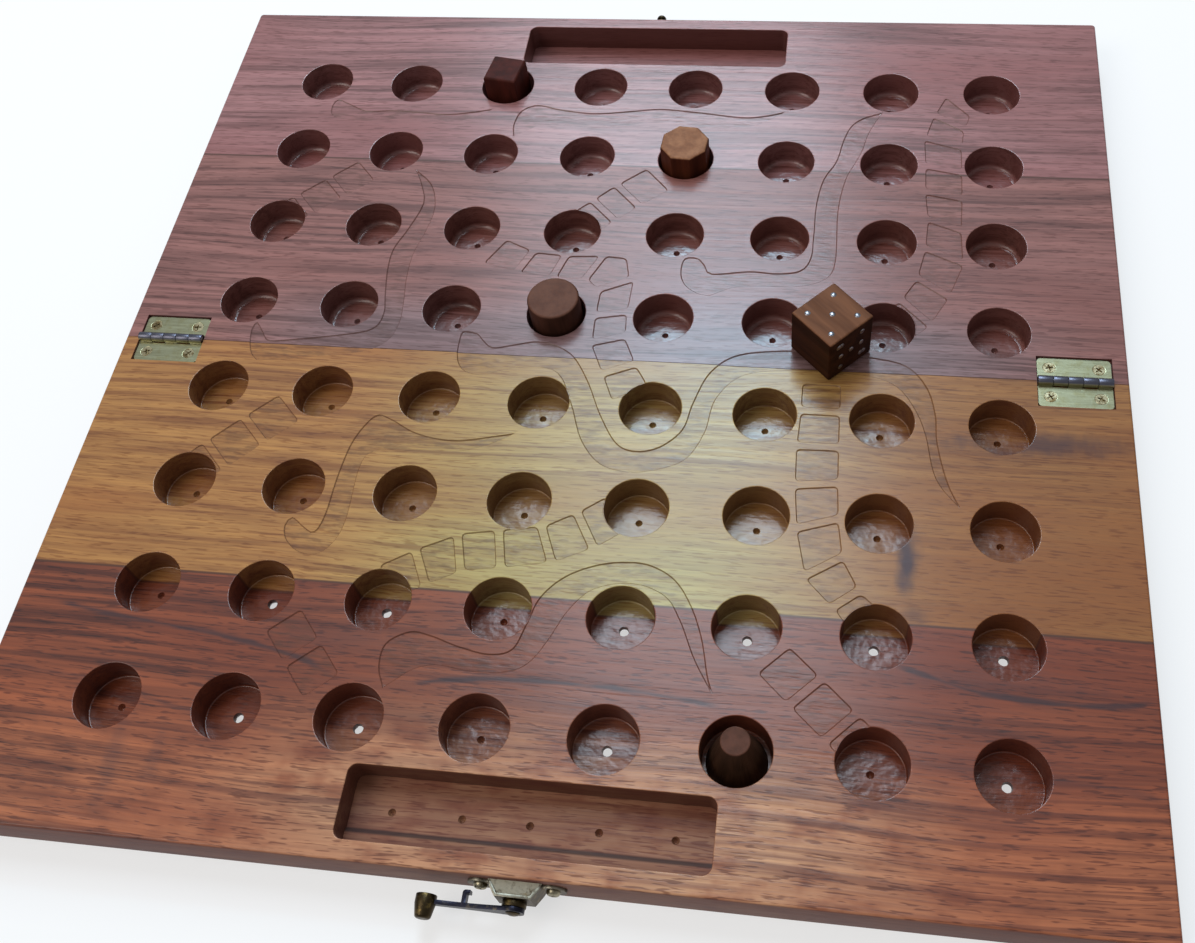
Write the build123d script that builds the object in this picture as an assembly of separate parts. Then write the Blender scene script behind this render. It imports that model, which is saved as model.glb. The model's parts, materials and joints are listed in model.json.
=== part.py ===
from build123d import *
import math
import os

os.makedirs("parts", exist_ok=True)

# All sizes are in millimetres. The board lies open on a table: +Z is up, the fold runs along X
# through the origin, the half with the latch is on the -Y side, and z = 0 is the underside.

# Playing grid
SQUARES = 8
SQUARE_PITCH = 40.0
SIDE_MARGIN = 43.0
END_MARGIN = 43.0

# Wooden halves, each glued up from two planks
BOARD_THICKNESS = 16.0
SEAM_FROM_FOLD = 95.2
OPEN_GAP = 0.2
FOLD_GAP = 0.3
EDGE_CHAMFER = 0.8

# Round flat-bottomed sockets, one in each square
SOCKET_RADIUS = 11.0
SOCKET_DEPTH = 11.0

# Storage trays, one near each far end, that face each other when the board is folded
TRAY_LENGTH = 112.0
TRAY_WIDTH = 22.6
TRAY_DEPTH = 11.0
TRAY_FROM_END = 17.5
TRAY_CORNER_RADIUS = 3.0
TRAY_LEDGE_WIDTH = 3.2
TRAY_LEDGE_HEIGHT = 1.0

# Butt hinges
HINGE_FROM_SIDE = 18.0
HINGE_LENGTH = 25.0
LEAF_REACH = 10.2
LEAF_THICKNESS = 1.0
LEAF_CORNER_RADIUS = 1.6
KNUCKLE_RADIUS = 1.8
KNUCKLE_COUNT = 5
KNUCKLE_GAP = 0.15
PIN_RADIUS = 1.0
PIN_CLEARANCE = 0.05
PIN_END_CHAMFER = 0.25
MORTISE_CLEARANCE = 0.3

# Countersunk hinge screws
HINGE_SCREW_SPACING = 16.7
HINGE_SCREW_FROM_FOLD = 6.1
HINGE_SCREW_RADIUS = 1.2
HINGE_SCREW_HEAD_RADIUS = 2.2
HINGE_SCREW_LENGTH = 9.0
SCREW_POINT_LENGTH = 2.0
SCREW_TIP_RADIUS = 0.3

# Round-headed screws of the latch and its keeper
LATCH_SCREW_RADIUS = 1.1
LATCH_SCREW_HEAD_RADIUS = 2.1
LATCH_SCREW_HEAD_HEIGHT = 1.3
LATCH_SCREW_LENGTH = 4.6

# Stepped latch plate on the front edge
FITTING_THICKNESS = 0.9
LATCH_DROP = 7.0
LATCH_SCREW_FROM_MIDDLE = 10.8
LATCH_LOBE_RADIUS = 3.9
LATCH_STRIP_HEIGHT = 6.6
CROWN_HEIGHT = 9.4
CROWN_HALF_WIDTH = 5.4
CROWN_FOOT_HALF_WIDTH = 8.0
CROWN_RISE = 4.7

# Pivot rivet and swinging hook
RIVET_RADIUS = 1.4
RIVET_CLEARANCE = 0.06
RIVET_TAIL_RADIUS = 2.3
RIVET_TAIL_HEIGHT = 0.8
RIVET_COLLAR_RADIUS = 3.6
RIVET_COLLAR_HEIGHT = 1.9
RIVET_HEAD_RADIUS = 2.4
RIVET_HEAD_HEIGHT = 0.7
HOOK_SIDE_CLEARANCE = 0.1
HOOK_THICKNESS = 1.3
HOOK_EYE_RADIUS = 3.3
HOOK_WAIST = 1.5
HOOK_SAG = 0.5
CLAW_THICKNESS = 1.3
CLAW_HALF_WIDTH = 1.4
CLAW_CLEARANCE = 0.3
CLAW_TIP_THICKNESS = 1.0
CLAW_TIP_CLEARANCE = 0.2
CLAW_BEND_RADIUS = 0.9
KNOB_FROM_PIVOT = 26.0
KNOB_RADIUS = 3.1
KNOB_END_RADIUS = 2.3
KNOB_LENGTH = 6.8
KNOB_REACH_BEHIND_HOOK = 1.3
KNOB_END_ROUND = 1.0

# Keeper on the far edge of the other half
KEEPER_DROP = 4.5
KEEPER_SCREW_FROM_MIDDLE = 7.0
KEEPER_LOBE_RADIUS = 3.4
KEEPER_STRIP_HEIGHT = 5.4
STUD_NECK_RADIUS = 1.2
STUD_HEAD_RADIUS = 2.0
STUD_HEAD_START = 4.2
STUD_HEAD_LENGTH = 2.0
STUD_HEAD_ROUND = 1.2

# Playing pieces
PEG_HEIGHT = 20.0
PEG_CLEARANCE = 1.4
PEG_CHAMFER = 0.6
SQUARE_PEG_SIDE = 14.0
SQUARE_PEG_YAW = -10.0
OCTAGON_PEG_FLATS = 18.2
OCTAGON_PEG_YAW = -5.0
CONE_TOP_RADIUS = 4.4
DIE_EDGE = 20.0
DIE_YAW = 45.0
DIE_EDGE_CHAMFER = 0.5
DIE_FROM_MIDDLE = 81.2
DIE_FROM_FOLD = 9.1
PIP_RADIUS = 1.1
PIP_HEIGHT = 0.3
PIP_OFFSET = 6.0
PIP_ROW_OFFSET = 4.7

# Places worked out from the sizes above
HALF_WIDTH = SQUARE_PITCH * (SQUARES - 1) / 2 + SIDE_MARGIN
HALF_DEPTH = SQUARE_PITCH * (SQUARES - 1) / 2 + END_MARGIN
TRAY_FROM_FOLD = HALF_DEPTH - TRAY_FROM_END
HINGE_FROM_MIDDLE = HALF_WIDTH - HINGE_FROM_SIDE
AXIS_Z = BOARD_THICKNESS + FOLD_GAP / 2
LEAF_BOTTOM_Z = AXIS_Z - KNUCKLE_RADIUS
LEAF_TOP_Z = LEAF_BOTTOM_Z + LEAF_THICKNESS
PEG_RADIUS = SOCKET_RADIUS - PEG_CLEARANCE
LATCH_Z = BOARD_THICKNESS - LATCH_DROP
KEEPER_Z = BOARD_THICKNESS - KEEPER_DROP
STUD_REACH = LATCH_DROP + FOLD_GAP + KEEPER_DROP
HOOK_INNER = CROWN_RISE + RIVET_COLLAR_HEIGHT + HOOK_SIDE_CLEARANCE
HOOK_OUTER = HOOK_INNER + HOOK_THICKNESS

BOTTOM = (Align.CENTER, Align.CENTER, Align.MIN)
TOP = (Align.CENTER, Align.CENTER, Align.MAX)


def square_x(column):
    """X of a column's middle, columns counted from 1 at the left."""
    return (column - (SQUARES + 1) / 2) * SQUARE_PITCH


def square_y(row):
    """Y of a row's middle, rows counted from 1 at the far edge."""
    return ((SQUARES + 1) / 2 - row) * SQUARE_PITCH


def rod(radius, start, end):
    """A round bar on the Z axis between two heights."""
    return Pos(0, 0, start) * Cylinder(radius, end - start, align=BOTTOM)


def outward(shape, x, z, side):
    """Stand a shape modelled along +Z on the board's front (-1) or far (+1) edge, facing out."""
    turn = 90 if side < 0 else -90
    return Pos(x, side * HALF_DEPTH, z) * Rot(turn, 0, 0) * shape


# Wooden halves

def half_slab(side):
    """One half of the board as a plain chamfered slab on the -Y (-1) or +Y (+1) side."""
    depth = HALF_DEPTH - OPEN_GAP / 2
    slab = Box(2 * HALF_WIDTH, depth, BOARD_THICKNESS, align=BOTTOM)
    slab = Pos(0, side * (OPEN_GAP / 2 + depth / 2), 0) * slab
    long_edges = slab.edges().filter_by(Axis.X)
    outer = long_edges.filter_by(lambda edge: abs(edge.center().Y) > HALF_DEPTH / 2)
    ends = slab.edges().filter_by(Axis.Y) + slab.edges().filter_by(Axis.Z).filter_by(
        lambda edge: abs(edge.center().Y) > HALF_DEPTH / 2
    )
    return chamfer(outer + ends, EDGE_CHAMFER)


def sockets(rows):
    """The round sockets of some rows, as the solids to take away."""
    cutter = Cylinder(SOCKET_RADIUS, SOCKET_DEPTH, align=TOP)
    columns = range(1, SQUARES + 1)
    return [Pos(square_x(c), square_y(r), BOARD_THICKNESS) * cutter for r in rows for c in columns]


def tray(side):
    """A storage tray with rounded corners, as the solid to take away."""
    outline = RectangleRounded(TRAY_LENGTH, TRAY_WIDTH, TRAY_CORNER_RADIUS)
    hollow = extrude(Pos(0, side * TRAY_FROM_FOLD, BOARD_THICKNESS) * outline, -TRAY_DEPTH)
    if side > 0:
        return hollow
    ledge_y = -TRAY_FROM_FOLD - TRAY_WIDTH / 2 + TRAY_LEDGE_WIDTH / 2
    ledge = Box(TRAY_LENGTH, TRAY_LEDGE_WIDTH, TRAY_LEDGE_HEIGHT, align=BOTTOM)
    return hollow - Pos(0, ledge_y, BOARD_THICKNESS - TRAY_DEPTH) * ledge


def hinge_seat(x, side):
    """The mortise for a leaf, the groove round the knuckles and the screws' pilot holes."""
    length = HINGE_LENGTH + 2 * MORTISE_CLEARANCE
    reach = LEAF_REACH + MORTISE_CLEARANCE
    mortise = Box(length, reach, BOARD_THICKNESS, align=(Align.CENTER, Align.MIN, Align.MIN))
    groove = Rot(0, 90, 0) * Cylinder(KNUCKLE_RADIUS + MORTISE_CLEARANCE, length)
    pilots = [
        Pos(dx, HINGE_SCREW_FROM_FOLD, 0) * screw_shank(HINGE_SCREW_RADIUS, HINGE_SCREW_LENGTH)
        for dx in (-HINGE_SCREW_SPACING / 2, HINGE_SCREW_SPACING / 2)
    ]
    turn = Rot(0, 0, 180) if side < 0 else Rot(0, 0, 0)
    cutters = [Pos(0, 0, LEAF_BOTTOM_Z) * mortise, Pos(0, 0, AXIS_Z) * groove]
    cutters += [Pos(0, 0, LEAF_TOP_Z) * pilot for pilot in pilots]
    return [Pos(x, 0, 0) * turn * cutter for cutter in cutters]


def edge_pilots(screw_x, z, side):
    """Pilot holes for two screws in an outer edge."""
    shank = Rot(180, 0, 0) * rod(LATCH_SCREW_RADIUS, 0, LATCH_SCREW_LENGTH)
    return [outward(shank, x, z, side) for x in (-screw_x, screw_x)]


def plank(side, near, far, rows, cutters):
    """The stretch of one half between two distances from the fold, with its cuts."""
    stretch = Box(2 * HALF_WIDTH, far - near, BOARD_THICKNESS, align=BOTTOM)
    stretch = Pos(0, side * (near + far) / 2, 0) * stretch
    return (half_slab(side) & stretch) - (sockets(rows) + cutters)


# Screws

def screw_shank(radius, length):
    """A pointed shank that hangs down from z = 0."""
    straight = length - SCREW_POINT_LENGTH
    shank = rod(radius, -straight, 0)
    point = Cone(SCREW_TIP_RADIUS, radius, SCREW_POINT_LENGTH, align=TOP)
    return shank + Pos(0, 0, -straight) * point


def countersink():
    """The right-angled cone of a countersunk head, no deeper than the leaf, its top at z = 0."""
    depth = min(HINGE_SCREW_HEAD_RADIUS - HINGE_SCREW_RADIUS, LEAF_THICKNESS)
    return Cone(HINGE_SCREW_RADIUS, HINGE_SCREW_HEAD_RADIUS, depth, align=TOP)


def hinge_screw():
    """A countersunk screw with its head's top at z = 0."""
    return screw_shank(HINGE_SCREW_RADIUS, HINGE_SCREW_LENGTH) + countersink()


def dome(radius, height):
    """A shallow spherical cap that stands on z = 0."""
    ball = (radius**2 + height**2) / (2 * height)
    return Pos(0, 0, height - ball) * Sphere(ball) & rod(radius, 0, height)


def round_screw():
    """A round-headed screw: the head stands on z = 0 and the shank goes down."""
    shank = rod(LATCH_SCREW_RADIUS, -LATCH_SCREW_LENGTH - FITTING_THICKNESS, 0)
    return dome(LATCH_SCREW_HEAD_RADIUS, LATCH_SCREW_HEAD_HEIGHT) + shank


def edge_screws(screw_x, z, side):
    """The two screws that hold a fitting on an outer edge."""
    screw = Pos(0, 0, FITTING_THICKNESS) * round_screw()
    return [outward(screw, x, z, side) for x in (-screw_x, screw_x)]


# Hinges

def knuckle_spans(side):
    """Where along the barrel the knuckles of one leaf lie: the front leaf has the outer ones."""
    step = HINGE_LENGTH / KNUCKLE_COUNT
    spans = []
    for index in range(0 if side < 0 else 1, KNUCKLE_COUNT, 2):
        low = -HINGE_LENGTH / 2 + index * step
        high = low + step
        if index > 0:
            low += KNUCKLE_GAP / 2
        if index < KNUCKLE_COUNT - 1:
            high -= KNUCKLE_GAP / 2
        spans.append((low, high))
    return spans


def hinge_leaf(side):
    """A leaf with its rolled knuckles; the pin is fast in the front leaf and runs in the other."""
    nose = KNUCKLE_RADIUS + KNUCKLE_GAP
    corner = (Align.CENTER, Align.MIN, Align.MIN)
    plate = Box(HINGE_LENGTH, LEAF_REACH - nose, LEAF_THICKNESS, align=corner)
    far_corners = plate.edges().filter_by(Axis.Z).sort_by(Axis.Y)[-2:]
    leaf = Pos(0, nose, LEAF_BOTTOM_Z) * fillet(far_corners, LEAF_CORNER_RADIUS)
    for low, high in knuckle_spans(side):
        tongue = Box(high - low, nose, LEAF_THICKNESS, align=corner)
        roll = Rot(0, 90, 0) * Cylinder(KNUCKLE_RADIUS, high - low)
        middle = (low + high) / 2
        leaf += Pos(middle, 0, LEAF_BOTTOM_Z) * tongue
        leaf += Pos(middle, 0, AXIS_Z) * roll
    bore = PIN_RADIUS if side < 0 else PIN_RADIUS + PIN_CLEARANCE
    leaf -= Pos(0, 0, AXIS_Z) * Rot(0, 90, 0) * Cylinder(bore, 2 * HINGE_LENGTH)
    for dx in (-HINGE_SCREW_SPACING / 2, HINGE_SCREW_SPACING / 2):
        leaf -= Pos(dx, HINGE_SCREW_FROM_FOLD, LEAF_TOP_Z) * hinge_screw()
    return Rot(0, 0, 180) * leaf if side < 0 else leaf


def hinge_pin():
    """The pin, as long as the barrel, with its ends chamfered."""
    pin = Rot(0, 90, 0) * Cylinder(PIN_RADIUS, HINGE_LENGTH)
    return Pos(0, 0, AXIS_Z) * chamfer(pin.edges().filter_by(GeomType.CIRCLE), PIN_END_CHAMFER)


def hinge_screws(side):
    """The two screws of one leaf."""
    spots = (-HINGE_SCREW_SPACING / 2, HINGE_SCREW_SPACING / 2)
    return [Pos(dx, side * HINGE_SCREW_FROM_FOLD, LEAF_TOP_Z) * hinge_screw() for dx in spots]


# Latch on the front edge, modelled face up with the board's edge at z = 0

def lobed_outline(screw_x, lobe_radius, strip_height):
    """A strip with a round lobe about each of its two screws."""
    strip = Rectangle(2 * screw_x, strip_height)
    lobes = [Pos(x, 0, 0) * Circle(lobe_radius) for x in (-screw_x, screw_x)]
    return strip + lobes


def latch_plate():
    """A strip bent up to a flat crown in its middle, with a foot and a screw at each end."""
    end = LATCH_SCREW_FROM_MIDDLE + LATCH_LOBE_RADIUS
    rise = CROWN_RISE - FITTING_THICKNESS
    bend = math.atan2(rise, CROWN_FOOT_HALF_WIDTH - CROWN_HALF_WIDTH)
    lean = FITTING_THICKNESS * math.tan(bend / 2)
    inner = [(end, 0), (CROWN_FOOT_HALF_WIDTH - lean, 0), (CROWN_HALF_WIDTH - lean, rise)]
    outer = [(CROWN_HALF_WIDTH, CROWN_RISE), (CROWN_FOOT_HALF_WIDTH, FITTING_THICKNESS)]
    outer.append((end, FITTING_THICKNESS))
    under = inner + [(-x, out) for x, out in reversed(inner)]
    over = [(-x, out) for x, out in reversed(outer)] + outer
    section = Plane.XZ * make_face(Polyline(*under, *over, close=True))
    strip = extrude(section, CROWN_HEIGHT / 2, both=True)
    outline = lobed_outline(LATCH_SCREW_FROM_MIDDLE, LATCH_LOBE_RADIUS, LATCH_STRIP_HEIGHT)
    outline += RectangleRounded(2 * CROWN_FOOT_HALF_WIDTH, CROWN_HEIGHT, FITTING_THICKNESS)
    plate = strip & extrude(outline, CROWN_RISE)
    plate -= rod(RIVET_RADIUS, 0, CROWN_RISE)
    for x in (-LATCH_SCREW_FROM_MIDDLE, LATCH_SCREW_FROM_MIDDLE):
        plate -= Pos(x, 0, 0) * rod(LATCH_SCREW_RADIUS, 0, CROWN_RISE)
    return plate


def pivot_rivet():
    """The rivet: a tail under the crown, a collar, the neck that the hook turns on, and a head."""
    tail_start = CROWN_RISE - FITTING_THICKNESS - RIVET_TAIL_HEIGHT
    rivet = rod(RIVET_TAIL_RADIUS, tail_start, tail_start + RIVET_TAIL_HEIGHT)
    rivet += rod(RIVET_RADIUS, tail_start, HOOK_OUTER + HOOK_SIDE_CLEARANCE)
    rivet += rod(RIVET_COLLAR_RADIUS, CROWN_RISE, CROWN_RISE + RIVET_COLLAR_HEIGHT)
    head = dome(RIVET_HEAD_RADIUS, RIVET_HEAD_HEIGHT)
    return rivet + Pos(0, 0, HOOK_OUTER + HOOK_SIDE_CLEARANCE) * head


def hook_blade():
    """The flat arm of the hook, from the eye round the pivot to the knob on its left."""
    middle = -KNOB_FROM_PIVOT / 2
    upper = ThreePointArc(
        (0, HOOK_EYE_RADIUS), (middle, HOOK_WAIST - HOOK_SAG), (-KNOB_FROM_PIVOT, HOOK_WAIST)
    )
    end = Line((-KNOB_FROM_PIVOT, HOOK_WAIST), (-KNOB_FROM_PIVOT, -HOOK_WAIST))
    lower = ThreePointArc(
        (-KNOB_FROM_PIVOT, -HOOK_WAIST), (middle, -HOOK_WAIST - HOOK_SAG), (0, -HOOK_EYE_RADIUS)
    )
    root = Line((0, -HOOK_EYE_RADIUS), (0, HOOK_EYE_RADIUS))
    outline = make_face([upper, end, lower, root]) + Circle(HOOK_EYE_RADIUS)
    outline -= Circle(RIVET_RADIUS + RIVET_CLEARANCE)
    outline -= Pos(-KNOB_FROM_PIVOT, 0, 0) * Circle(KNOB_RADIUS)
    return extrude(Pos(0, 0, HOOK_INNER) * outline, HOOK_THICKNESS)


def hook_claw():
    """The tab bent in from the blade, whose tip turns under the head of the keeper's stud."""
    inner_x = -(STUD_REACH + STUD_HEAD_RADIUS + CLAW_CLEARANCE)
    tip_x = -(STUD_REACH + STUD_NECK_RADIUS + CLAW_TIP_CLEARANCE)
    outer_x = inner_x - CLAW_THICKNESS
    tip_top = STUD_HEAD_START - CLAW_TIP_CLEARANCE
    tip_bottom = tip_top - CLAW_TIP_THICKNESS
    root = HOOK_INNER + HOOK_THICKNESS / 2
    points = [(outer_x, root), (outer_x, tip_bottom), (tip_x, tip_bottom)]
    points += [(tip_x, tip_top), (inner_x, tip_top), (inner_x, root)]
    section = Plane.XZ * make_face(Polyline(*points, close=True))
    claw = extrude(section, CLAW_HALF_WIDTH, both=True)
    bend = claw.edges().filter_by(Axis.Y).sort_by(Axis.X)[:2].sort_by(Axis.Z)[:1]
    return Pos(0, -HOOK_SAG, 0) * fillet(bend, CLAW_BEND_RADIUS)


def hook_knob():
    """The bucket-shaped knob at the end of the hook."""
    start = HOOK_INNER - KNOB_REACH_BEHIND_HOOK
    end = start + KNOB_LENGTH
    profile = [(0, start), (KNOB_RADIUS, start), (KNOB_RADIUS, HOOK_OUTER)]
    profile += [(KNOB_END_RADIUS, end), (0, end)]
    knob = revolve(Plane.XZ * make_face(Polyline(*profile, close=True)), Axis.Z)
    rim = knob.edges().filter_by(GeomType.CIRCLE).sort_by(Axis.Z)[-1]
    return Pos(-KNOB_FROM_PIVOT, 0, 0) * fillet(rim, KNOB_END_ROUND)


# Keeper on the far edge, modelled the same way

def keeper_plate():
    """A flat lobed plate with two screws and the stud riveted in its middle."""
    outline = lobed_outline(KEEPER_SCREW_FROM_MIDDLE, KEEPER_LOBE_RADIUS, KEEPER_STRIP_HEIGHT)
    plate = extrude(outline, FITTING_THICKNESS)
    plate -= rod(STUD_NECK_RADIUS, 0, FITTING_THICKNESS)
    for x in (-KEEPER_SCREW_FROM_MIDDLE, KEEPER_SCREW_FROM_MIDDLE):
        plate -= Pos(x, 0, 0) * rod(LATCH_SCREW_RADIUS, 0, FITTING_THICKNESS)
    return plate


def keeper_stud():
    """A necked stud with a rounded head."""
    head_end = STUD_HEAD_START + STUD_HEAD_LENGTH
    head = rod(STUD_HEAD_RADIUS, STUD_HEAD_START, head_end)
    rim = head.edges().filter_by(GeomType.CIRCLE).sort_by(Axis.Z)[-1]
    return fillet(rim, STUD_HEAD_ROUND) + rod(STUD_NECK_RADIUS, 0, STUD_HEAD_START)


# Playing pieces, each standing on z = 0

def topped(peg):
    """A peg with the edges of its top broken."""
    return chamfer(peg.faces().sort_by(Axis.Z)[-1].edges(), PEG_CHAMFER)


def seated(peg, column, row):
    """A peg standing on the floor of its socket."""
    return Pos(square_x(column), square_y(row), BOARD_THICKNESS - SOCKET_DEPTH) * peg


def square_peg():
    side = Box(SQUARE_PEG_SIDE, SQUARE_PEG_SIDE, PEG_HEIGHT, align=BOTTOM)
    return Rot(0, 0, SQUARE_PEG_YAW) * topped(side)


def octagonal_peg():
    across_corners = OCTAGON_PEG_FLATS / math.cos(math.pi / 8)
    outline = RegularPolygon(across_corners / 2, 8, rotation=180 / 8)
    return Rot(0, 0, OCTAGON_PEG_YAW) * topped(extrude(outline, PEG_HEIGHT))


def round_peg():
    return topped(Cylinder(PEG_RADIUS, PEG_HEIGHT, align=BOTTOM))


def conical_peg():
    return Cone(PEG_RADIUS, CONE_TOP_RADIUS, PEG_HEIGHT, align=BOTTOM)


def pip_spots(count):
    """Where the pips of one face lie, from the face's middle."""
    near = PIP_OFFSET
    spots = {
        1: [(0, 0)],
        2: [(-near, near), (near, -near)],
        3: [(-near, near), (0, 0), (near, -near)],
        4: [(x, y) for x in (-near, near) for y in (-near, near)],
        5: [(x, y) for x in (-near, near) for y in (-near, near)] + [(0, 0)],
        6: [(x, y) for x in (-near, 0, near) for y in (-PIP_ROW_OFFSET, PIP_ROW_OFFSET)],
    }
    return spots[count]


def placed_die(shape):
    """Move a shape from the die's own frame, its middle at the origin, to where the die stands."""
    height = BOARD_THICKNESS + PIP_HEIGHT + DIE_EDGE / 2
    return Pos(DIE_FROM_MIDDLE, DIE_FROM_FOLD, height) * Rot(0, 0, DIE_YAW) * shape


def die():
    cube = Box(DIE_EDGE, DIE_EDGE, DIE_EDGE)
    return placed_die(chamfer(cube.edges(), DIE_EDGE_CHAMFER))


def die_pips():
    """The nail heads: 5 up and 2 down, 3 and 4 to the front and back, 6 and 1 to the sides."""
    faces = [(5, Rot(0, 0, 0)), (2, Rot(180, 0, 0)), (3, Rot(90, 0, 0))]
    faces += [(4, Rot(-90, 0, 0)), (6, Rot(90, 0, -90)), (1, Rot(90, 0, 90))]
    pip = dome(PIP_RADIUS, PIP_HEIGHT)
    heads = []
    for count, turn in faces:
        for x, y in pip_spots(count):
            heads.append(placed_die(turn * Pos(x, y, DIE_EDGE / 2) * pip))
    return heads


# The whole board

def write(name, shape):
    """Write one node, given as a solid or as a list of separate solids."""
    solids = shape if isinstance(shape, list) else [shape]
    solids = [solid for item in solids for solid in item.solids()]
    node = solids[0] if len(solids) == 1 else Compound(children=solids)
    export_step(node, f"parts/{name}.step")


FRONT, BACK = -1, 1
HINGES = {"left": -HINGE_FROM_MIDDLE, "right": HINGE_FROM_MIDDLE}
SEAM_ROW = 1 + round((HALF_DEPTH - END_MARGIN - SEAM_FROM_FOLD) / SQUARE_PITCH)


def main():
    fittings = {
        FRONT: edge_pilots(LATCH_SCREW_FROM_MIDDLE, LATCH_Z, FRONT),
        BACK: edge_pilots(KEEPER_SCREW_FROM_MIDDLE, KEEPER_Z, BACK),
    }
    for side, name in ((FRONT, "front"), (BACK, "back")):
        seats = [cutter for x in HINGES.values() for cutter in hinge_seat(x, side)]
        inner_rows = range(SEAM_ROW, SQUARES // 2 + 1)
        outer_rows = range(1, SEAM_ROW + 1)
        if side < 0:
            inner_rows = [SQUARES + 1 - row for row in inner_rows]
            outer_rows = [SQUARES + 1 - row for row in outer_rows]
        write(f"{name}_inner_plank", plank(side, 0, SEAM_FROM_FOLD, inner_rows, seats))
        outer_cuts = [tray(side)] + fittings[side]
        write(f"{name}_outer_plank", plank(side, SEAM_FROM_FOLD, HALF_DEPTH, outer_rows, outer_cuts))

    for label, x in HINGES.items():
        write(f"{label}_hinge_pin", Pos(x, 0, 0) * hinge_pin())
        for side, name in ((FRONT, "front"), (BACK, "back")):
            screws = [Pos(x, 0, 0) * screw for screw in hinge_screws(side)]
            write(f"{label}_hinge_{name}_leaf", Pos(x, 0, 0) * hinge_leaf(side))
            write(f"{label}_hinge_{name}_screws", screws)

    write("latch_plate", outward(latch_plate(), 0, LATCH_Z, FRONT))
    write("latch_screws", edge_screws(LATCH_SCREW_FROM_MIDDLE, LATCH_Z, FRONT))
    write("latch_pivot_rivet", outward(pivot_rivet(), 0, LATCH_Z, FRONT))
    write("latch_hook", outward(hook_blade() + hook_claw(), 0, LATCH_Z, FRONT))
    write("latch_hook_knob", outward(hook_knob(), 0, LATCH_Z, FRONT))
    write("keeper_plate", outward(keeper_plate(), 0, KEEPER_Z, BACK))
    write("keeper_screws", edge_screws(KEEPER_SCREW_FROM_MIDDLE, KEEPER_Z, BACK))
    write("keeper_stud", outward(keeper_stud(), 0, KEEPER_Z, BACK))

    write("square_peg", seated(square_peg(), 3, 1))
    write("octagonal_peg", seated(octagonal_peg(), 5, 2))
    write("round_peg", seated(round_peg(), 4, 4))
    write("conical_peg", seated(conical_peg(), 6, 8))
    write("die", die())
    write("die_pips", die_pips())


main()
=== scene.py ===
import json
import math
import random

import bmesh
import bpy
import numpy as np
from mathutils import Matrix, Vector
from mathutils.geometry import delaunay_2d_cdt


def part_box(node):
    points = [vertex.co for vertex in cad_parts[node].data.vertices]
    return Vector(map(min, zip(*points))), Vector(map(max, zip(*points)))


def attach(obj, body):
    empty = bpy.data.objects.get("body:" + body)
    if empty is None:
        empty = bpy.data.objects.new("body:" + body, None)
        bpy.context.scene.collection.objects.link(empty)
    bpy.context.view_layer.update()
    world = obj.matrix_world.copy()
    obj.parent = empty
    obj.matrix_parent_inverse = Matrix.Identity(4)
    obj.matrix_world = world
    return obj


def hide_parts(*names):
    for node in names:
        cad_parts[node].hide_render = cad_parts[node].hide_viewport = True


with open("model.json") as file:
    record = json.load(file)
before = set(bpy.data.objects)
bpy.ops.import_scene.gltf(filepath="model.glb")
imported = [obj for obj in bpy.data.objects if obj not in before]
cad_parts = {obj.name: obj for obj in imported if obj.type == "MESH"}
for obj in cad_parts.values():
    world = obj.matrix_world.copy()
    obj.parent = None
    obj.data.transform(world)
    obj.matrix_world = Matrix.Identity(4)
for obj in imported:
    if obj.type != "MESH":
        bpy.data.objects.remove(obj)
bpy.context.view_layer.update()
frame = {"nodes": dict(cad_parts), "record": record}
BODY_OF = {node: body for body, nodes in frame["record"]["behaviour"]["bodies"].items() for node in nodes}

# Sizes are in millimetres, as in the source of the solids, and become metres when a mesh is made.
MM = 0.001

PITCH = 40.0
SQUARES = 8
THICKNESS = 16.0
SOCKET_RADIUS = 11.0
SOCKET_FLOOR = 5.0
SEAM = 95.2
TRAY_SIZE = (112.0, 22.6)
TRAY_FROM_FOLD = 165.5
TRAY_CORNER = 3.0
LEDGE_WIDTH = 5.4
LEDGE_HEIGHT = 1.0
HOLLOW_FLOORS = (SOCKET_FLOOR, SOCKET_FLOOR + LEDGE_HEIGHT)
EDGE_ROUND = 0.8
CORNER_ROUND = 1.6
RIM_ROUND = 0.3
FOOT_ROUND = 2.2
TIGHT_FOOT = 0.5
FOOT_STEPS = 5
HOLDS_PEG = {(1, 3), (2, 5), (4, 4), (8, 6)}

# Mortises for the hinges, with the groove under the barrel
HINGE_X = 165.0
MORTISE_HALF_LENGTH = 12.8
MORTISE_REACH = 10.5
AXIS_HEIGHT = 16.15
MORTISE_FLOOR = 14.35
GROOVE_RADIUS = 2.1
LEAF_TOP = 15.35

# Carved shapes, sunk a little below the face
CARVE_WALL = 0.4
CARVE_DEPTH = 0.4
CARVE_STEP = 1.6

# Marks that the drill's point left: the radius, the height and the roughness of each ring
PILOT_RINGS = [(1.25, SOCKET_FLOOR, 0.04), (0.6875, 3.68, 0.04)]
PILOT_TIP = 2.8
THROUGH_RINGS = [(1.7, SOCKET_FLOOR, 0.03), (1.45, 3.4, 0.03), (3.1, 0.0, 0.1)]
THROUGH_MARKS = {(7, 2), (7, 3), (7, 5), (7, 6), (7, 7), (7, 8), (8, 2), (8, 3), (8, 5), (8, 8)}
TRAY_MARKS = [(-43, -165), (-21, -165), (0, -165), (21, -165), (44, -165)]

ARC_STEPS = 72
SHARP_ANGLE = 32.0
LEAST_ARC_STEPS = 8
CORNER_STEPS = 8
GROOVE_STEPS = 4
SCREW_STEPS = 36
FLAT_NORMAL = 0.999
FLAT_ANGLE = 1.0

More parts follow.
